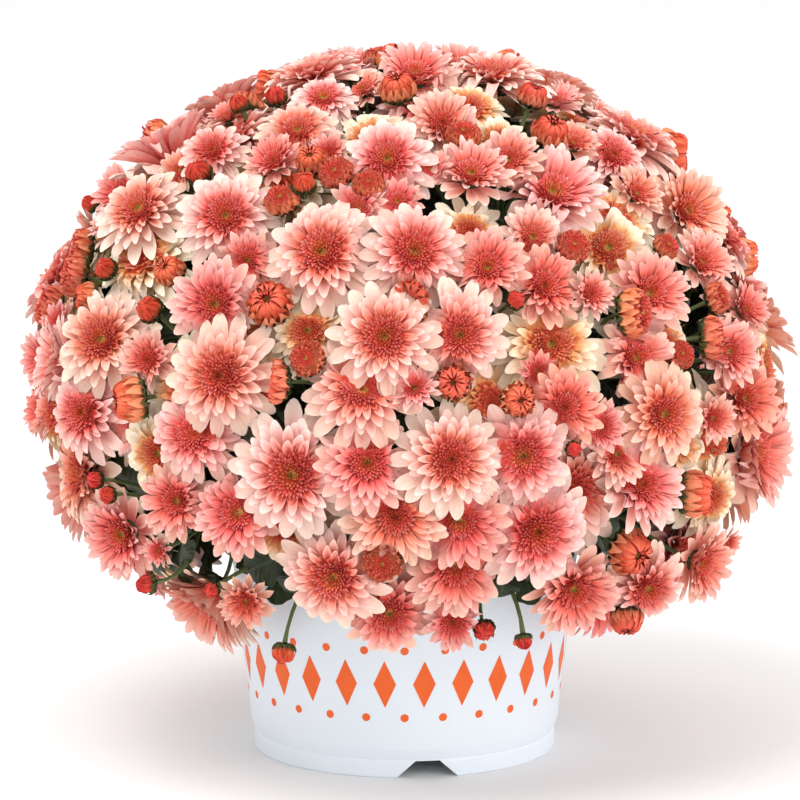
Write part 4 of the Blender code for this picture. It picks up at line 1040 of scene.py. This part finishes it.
def maths(tree, operation, one, two=0.0):
    node = tree.nodes.new("ShaderNodeMath")
    node.operation = operation
    feed(tree, node.inputs[0], one)
    feed(tree, node.inputs[1], two)
    return node.outputs[0]


def times(tree, one, two):
    return maths(tree, "MULTIPLY", one, two)


def plus(tree, one, two):
    return maths(tree, "ADD", one, two)


def mix(tree, factor, one, two):
    node = tree.nodes.new("ShaderNodeMix")
    node.data_type = "RGBA"
    feed(tree, node.inputs[0], factor)
    feed(tree, node.inputs[6], one)
    feed(tree, node.inputs[7], two)
    return node.outputs[2]


def noise(tree, scale, detail):
    place = tree.nodes.new("ShaderNodeTexCoord").outputs["Object"]
    node = tree.nodes.new("ShaderNodeTexNoise")
    node.inputs["Scale"].default_value = scale
    node.inputs["Detail"].default_value = detail
    tree.links.new(place, node.inputs["Vector"])
    return node.outputs["Fac"]


def bump(tree, shader, height, strength, distance):
    node = tree.nodes.new("ShaderNodeBump")
    node.inputs["Strength"].default_value = strength
    node.inputs["Distance"].default_value = distance
    tree.links.new(height, node.inputs["Height"])
    tree.links.new(node.outputs["Normal"], shader.inputs["Normal"])


def finish(tree, shader, colour, rough):
    tree.links.new(colour, shader.inputs["Base Color"])
    shader.inputs["Roughness"].default_value = rough


def petal_material():
    """Coral to pale pink, or orange to cream, along each petal, with faint lengthwise ribs."""
    material, tree, shader = node_tree("petal")
    across = attribute(tree, "across")
    ribs = maths(tree, "SINE", times(tree, across, PETAL_RIBS))
    blotch = times(tree, maths(tree, "SUBTRACT", noise(tree, BLOTCH_SCALE, 2), 0.5), BLOTCH_TONE)
    edge = times(tree, times(tree, across, across), EDGE_TONE)
    tone = plus(tree, attribute(tree, "tone"), blotch)
    tone = plus(tree, tone, times(tree, ribs, RIB_TONE))
    tone = plus(tree, tone, edge)
    colour = mix(tree, attribute(tree, "cream"), ramp(tree, tone, CORAL_STOPS),
                 ramp(tree, tone, CREAM_STOPS))
    colour = mix(tree, attribute(tree, "green"), colour, EYE_GREEN)
    finish(tree, shader, colour, PETAL_ROUGH)
    shader.inputs["Specular IOR Level"].default_value = PETAL_SPECULAR
    shader.inputs["Sheen Weight"].default_value = PETAL_SHEEN
    bump(tree, shader, ribs, *PETAL_BUMP)
    return material


def green_material(name, dark, light, rough):
    """Mottled green, darker or lighter by leaf, with a pale midrib and side veins."""
    material, tree, shader = node_tree(name)
    beside = maths(tree, "ABSOLUTE", attribute(tree, "across"))
    rib = maths(tree, "LESS_THAN", beside, MIDRIB_HALF)
    along = times(tree, attribute(tree, "green"), LEAF_VEINS)
    veins = maths(tree, "SINE", maths(tree, "SUBTRACT", along, times(tree, beside, VEINS_FORWARD)))
    mottle = times(tree, noise(tree, GREEN_SCALE, 4), GREEN_MOTTLE)
    shade = plus(tree, mottle, times(tree, attribute(tree, "tone"), GREEN_SHADE))
    colour = ramp(tree, shade, ((0.3, dark), (0.75, light)))
    colour = mix(tree, times(tree, rib, MIDRIB_SHARE), colour, tuple(MIDRIB_PALER * c for c in light))
    finish(tree, shader, colour, rough)
    bump(tree, shader, veins, *VEIN_BUMP)
    return material


def mottled_material(name, dark, light, scale, rough, grain, strength, distance):
    material, tree, shader = node_tree(name)
    finish(tree, shader, ramp(tree, noise(tree, scale, 4), ((0.3, dark), (0.7, light))), rough)
    bump(tree, shader, noise(tree, grain, 5), strength, distance)
    return material


def wall_radius(height):
    return WALL_FOOT_RADIUS + WALL_SPREAD * height


def round_profile(corners):
    """A profile of (radius, height) with each inner corner rounded a little."""
    points = [np.array(corners[0])]
    for before, corner, after in zip(corners, corners[1:], corners[2:]):
        corner = np.array(corner)
        one, two = np.array(before) - corner, np.array(after) - corner
        reach = min(CORNER_RADIUS, *(np.linalg.norm(way) * CORNER_MOST for way in (one, two)))
        points += list(bezier(corner + unit(one) * reach, corner, corner + unit(two) * reach,
                              count=CORNER_POINTS))
    points.append(np.array(corners[-1]))
    return points


def pot_profile():
    top = POT_HEIGHT
    under_lip = top - LIP_HEIGHT
    turn_in = TURN_IN_HEIGHT
    lip_radius = wall_radius(top) + LIP_PROUD
    under_floor = FLOOR_HEIGHT - FLOOR_THICKNESS
    return (
        (0.0, FLOOR_HEIGHT),
        (FOOT_RADIUS - FLOOR_INSET, FLOOR_HEIGHT),
        (wall_radius(turn_in) - WALL, turn_in),
        (wall_radius(top) - WALL, top),
        (lip_radius, top),
        (lip_radius, under_lip),
        (wall_radius(under_lip), under_lip - LIP_TUCK),
        (wall_radius(turn_in), turn_in),
        (wall_radius(turn_in) - SHOULDER_INSET, SHOULDER_HEIGHT),
        (FOOT_RADIUS, FOOT_HEIGHT + GROOVE_HALF),
        (FOOT_RADIUS - GROOVE_DEPTH, FOOT_HEIGHT),
        (FOOT_RADIUS, FOOT_HEIGHT - GROOVE_HALF),
        (FOOT_RADIUS, 0.0),
        (FOOT_RADIUS - FOOT_WALL, 0.0),
        (FOOT_RADIUS - FOOT_WALL, under_floor),
        (0.0, under_floor),
    )


def new_object(name, bm):
    mesh = bpy.data.meshes.new(name)
    bm.to_mesh(mesh)
    bm.free()
    return linked(name, mesh)


def build_pot(material):
    bm = bmesh.new()
    profile = [bm.verts.new((point[0], 0.0, point[1])) for point in round_profile(pot_profile())]
    edges = [bm.edges.new(pair) for pair in zip(profile, profile[1:])]
    bmesh.ops.spin(bm, geom=profile + edges, axis=UP, cent=(0, 0, 0), angle=math.tau,
                   steps=POT_STEPS, use_merge=True)
    bmesh.ops.remove_doubles(bm, verts=bm.verts, dist=MERGED)
    bmesh.ops.recalc_face_normals(bm, faces=bm.faces)
    pot = new_object("pot_shell", bm)
    for tool in (notch_cutter(), drain_cutter()):
        difference = pot.modifiers.new("cut", "BOOLEAN")
        difference.operation = "DIFFERENCE"
        difference.object = tool
        bpy.context.view_layer.objects.active = pot
        bpy.ops.object.modifier_apply(modifier=difference.name)
        bpy.data.objects.remove(tool)
    pot.data.shade_smooth()
    pot.data.set_sharp_from_angle(angle=SHARP)
    pot.data.materials.clear()
    pot.data.materials.append(material)
    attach(pot, "root")
    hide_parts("pot")


def notch_cutter():
    bm = bmesh.new()
    for index in range(NOTCHES):
        made = bmesh.ops.create_cube(bm, size=1.0)["verts"]
        turn = NOTCH_FIRST + math.tau * index / NOTCHES
        for corner in made:
            top = corner.co.z > 0
            width = NOTCH_NARROW if top else NOTCH_WIDE
            height = NOTCH_HEIGHT if top else -NOTCH_UNDER
            out, over = FOOT_RADIUS + corner.co.x * NOTCH_BLOCK, corner.co.y * width
            corner.co = polar(out, turn, height) + polar(over, turn + math.pi / 2)
    bmesh.ops.recalc_face_normals(bm, faces=bm.faces)
    return new_object("notches", bm)


def drain_cutter():
    bm = bmesh.new()
    for index in range(DRAINS):
        made = bmesh.ops.create_cone(bm, cap_ends=True, segments=DRAIN_SIDES,
                                     radius1=DRAIN_RADIUS, radius2=DRAIN_RADIUS,
                                     depth=DRAIN_BLOCK)["verts"]
        turn = math.tau * (index + 0.5) / DRAINS
        bmesh.ops.translate(bm, verts=made, vec=polar(DRAIN_CIRCLE, turn, FLOOR_HEIGHT))
    return new_object("drains", bm)


def print_patch(heap, turn, level, rim):
    """A flat shape laid on the pot's wall, given by the points (across, up) of its rim."""
    count = len(rim)
    flat = [(0.0, 0.0)] + [(across * 0.5, up * 0.5) for across, up in rim] + rim
    points = []
    for across, up in flat:
        radius = wall_radius(level + up) + PRINT_PROUD
        points.append(np.array(polar(radius, turn + across / radius, level + up)))
    faces = [[0, 1 + side, 1 + (side + 1) % count] for side in range(count)]
    faces += [[1 + side, 1 + count + side, 1 + count + (side + 1) % count, 1 + (side + 1) % count]
              for side in range(count)]
    heap.add(np.array(points), faces, np.zeros(4))


def build_print(material):
    """The pot's printed band: a straight row of lozenges between two rows of dots."""
    heap = Heap()
    wide, high = LOZENGE_HALF_WIDTH, LOZENGE_HALF_HEIGHT
    corners = ((wide, 0), (0, high), (-wide, 0), (0, -high))
    lozenge = [(one[0] + (two[0] - one[0]) * share, one[1] + (two[1] - one[1]) * share)
               for one, two in zip(corners, corners[1:] + corners[:1]) for share in (0.0, 0.25, 0.5, 0.75)]
    dot = [(DOT_RADIUS * math.cos(turn), DOT_RADIUS * math.sin(turn))
           for turn in np.linspace(0, math.tau, DOT_SIDES, endpoint=False)]
    for index in range(LOZENGES):
        turn = math.tau * index / LOZENGES
        print_patch(heap, turn, LOZENGE_LEVEL, lozenge)
        for level in DOT_LEVELS:
            print_patch(heap, turn + math.pi / LOZENGES, level, dot)
    heap.piece("pot_print", material, (), "pot")


def build_soil(material):
    """Loose soil with lumps, down the inside of the pot."""
    draw = np.random.default_rng(SOIL_SEED)
    heap = Heap()
    sides = SOIL_SIDES
    turns = around(sides)
    inset = WALL + SOIL_PLAY
    points = []
    for ring in range(SOIL_RINGS + 1):
        share = ring / SOIL_RINGS
        lumps = draw.normal(0, SOIL_GRAIN, sides) + SOIL_WAVE * np.sin(turns * 3 + ring)
        loose = share < SOIL_LEVEL_FROM
        out = (wall_radius(SOIL_HEIGHT) - inset) * max(share, SOIL_INNERMOST)
        points.append(circle(turns, out, SOIL_HEIGHT + lumps * loose))
    under = FLOOR_HEIGHT + GAP
    points.append(circle(turns, wall_radius(TURN_IN_HEIGHT) - inset, TURN_IN_HEIGHT))
    points.append(circle(turns, SOIL_FLOOR_RADIUS, under))
    points.append(circle(turns, 1 * MM, under))
    faces = [[first, *others[::-1]] for first, *others in ring_faces(len(points), sides)]
    faces.append(list(range(sides)))
    faces.append([(len(points) - 1) * sides + side for side in reversed(range(sides))])
    heap.add(np.concatenate(points), faces, np.zeros(4))
    heap.piece("soil_bed", material, ("soil",), "soil")


def aimed(thing, place, way):
    """Puts a camera or a light at a place, turned to look a way."""
    thing.location = place
    thing.rotation_euler = way.to_track_quat("-Z", "Y").to_euler()
    return thing


def set_camera():
    forward = view_axes()[2]
    camera = bpy.data.cameras.new("camera")
    camera.sensor_width = SENSOR
    camera.lens = SENSOR * VIEW_DISTANCE / (VIEW_SIZE * VIEW_PIXEL)
    bpy.context.scene.camera = aimed(linked("camera", camera), VIEW_AIM - forward * VIEW_DISTANCE, forward)


def area_light(name, place, size, power, colour):
    light = bpy.data.lights.new(name, "AREA")
    light.size, light.energy, light.color = size, power, colour
    aimed(linked(name, light), place, LIGHT_AIM - Vector(place))


def set_stage():
    mesh = bpy.data.meshes.new("floor")
    far = FLOOR_HALF
    mesh.from_pydata([(-far, -far, 0), (far, -far, 0), (far, far, 0), (-far, far, 0)], [], [(0, 1, 2, 3)])
    floor = linked("floor", mesh)
    material, _, shader = node_tree("floor")
    shader.inputs["Base Color"].default_value = (*FLOOR_COLOUR, 1)
    shader.inputs["Roughness"].default_value = FLOOR_ROUGH
    mesh.materials.append(material)
    floor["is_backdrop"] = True
    world = bpy.data.worlds.new("studio")
    bpy.context.scene.world = world
    world.use_nodes = True
    sky = world.node_tree.nodes["Background"].inputs
    sky["Color"].default_value = (1.0, 1.0, 1.0, 1)
    sky["Strength"].default_value = 1.0
    for light in LIGHTS:
        area_light(*light)
    bpy.context.scene.view_settings.view_transform = "Standard"


def dress_spray(index, ways, flowers):
    """The petals, the stalks and the leaves of one spray and its stem."""
    draw = np.random.default_rng(SPRAY_SEED + index)
    petals, greens, leaves = Heap(), Heap(), Heap()
    way = ways[index][0]
    reach = dome_reach(way)
    depths = (FORK_DEPTH, SPRAY_MIDDLE_DEPTH, SPRAY_TOP_DEPTH)
    tube(greens, [CROWN + way * (reach - depth) for depth in depths], SPRAY_RADII, SPRAY_SIDES, STALK_TONE)
    for flower in flowers:
        if flower.spray == index:
            {"H": half_open, "B": bud}.get(flower.kind, open_flower)(petals, flower, draw)
            calyx(greens, flower, draw)
            stalk(greens, flower)
    number = "_%02d" % (index + 1)
    petals.piece("petals" + number, petal, ("spray" + number,))
    greens.piece("stalks" + number, stem_green, ("spray" + number,), "leaf")
    leafy_stem(leaves, index, ways, draw)
    leaves.piece("leaves" + number, leaf_green, ("leafy_stem" + number,), "leaf")


ways = spray_ways()
flowers = fill_flowers(seen_flowers())
flowers += under_flowers(flowers)
share_out(flowers, ways)
set_radii(flowers)
set_order(flowers)
set_feet(flowers, ways)
petal = petal_material()
stem_green = green_material("stem_green", *STEM_GREENS, STEM_ROUGH)
leaf_green = green_material("leaf_green", *LEAF_GREENS, LEAF_ROUGH)
for index in range(len(ways)):
    dress_spray(index, ways, flowers)
plastic = mottled_material("pot_plastic", *PLASTIC)
ink = mottled_material("print_orange", *INK)
peat = mottled_material("soil_peat", *PEAT)
build_pot(plastic)
build_print(ink)
build_soil(peat)
set_camera()
set_stage()

boxes = {"cad": cad_box, "visual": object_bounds()}
{key: [list(map(float, corner)) for corner in box] for key, box in boxes.items()}
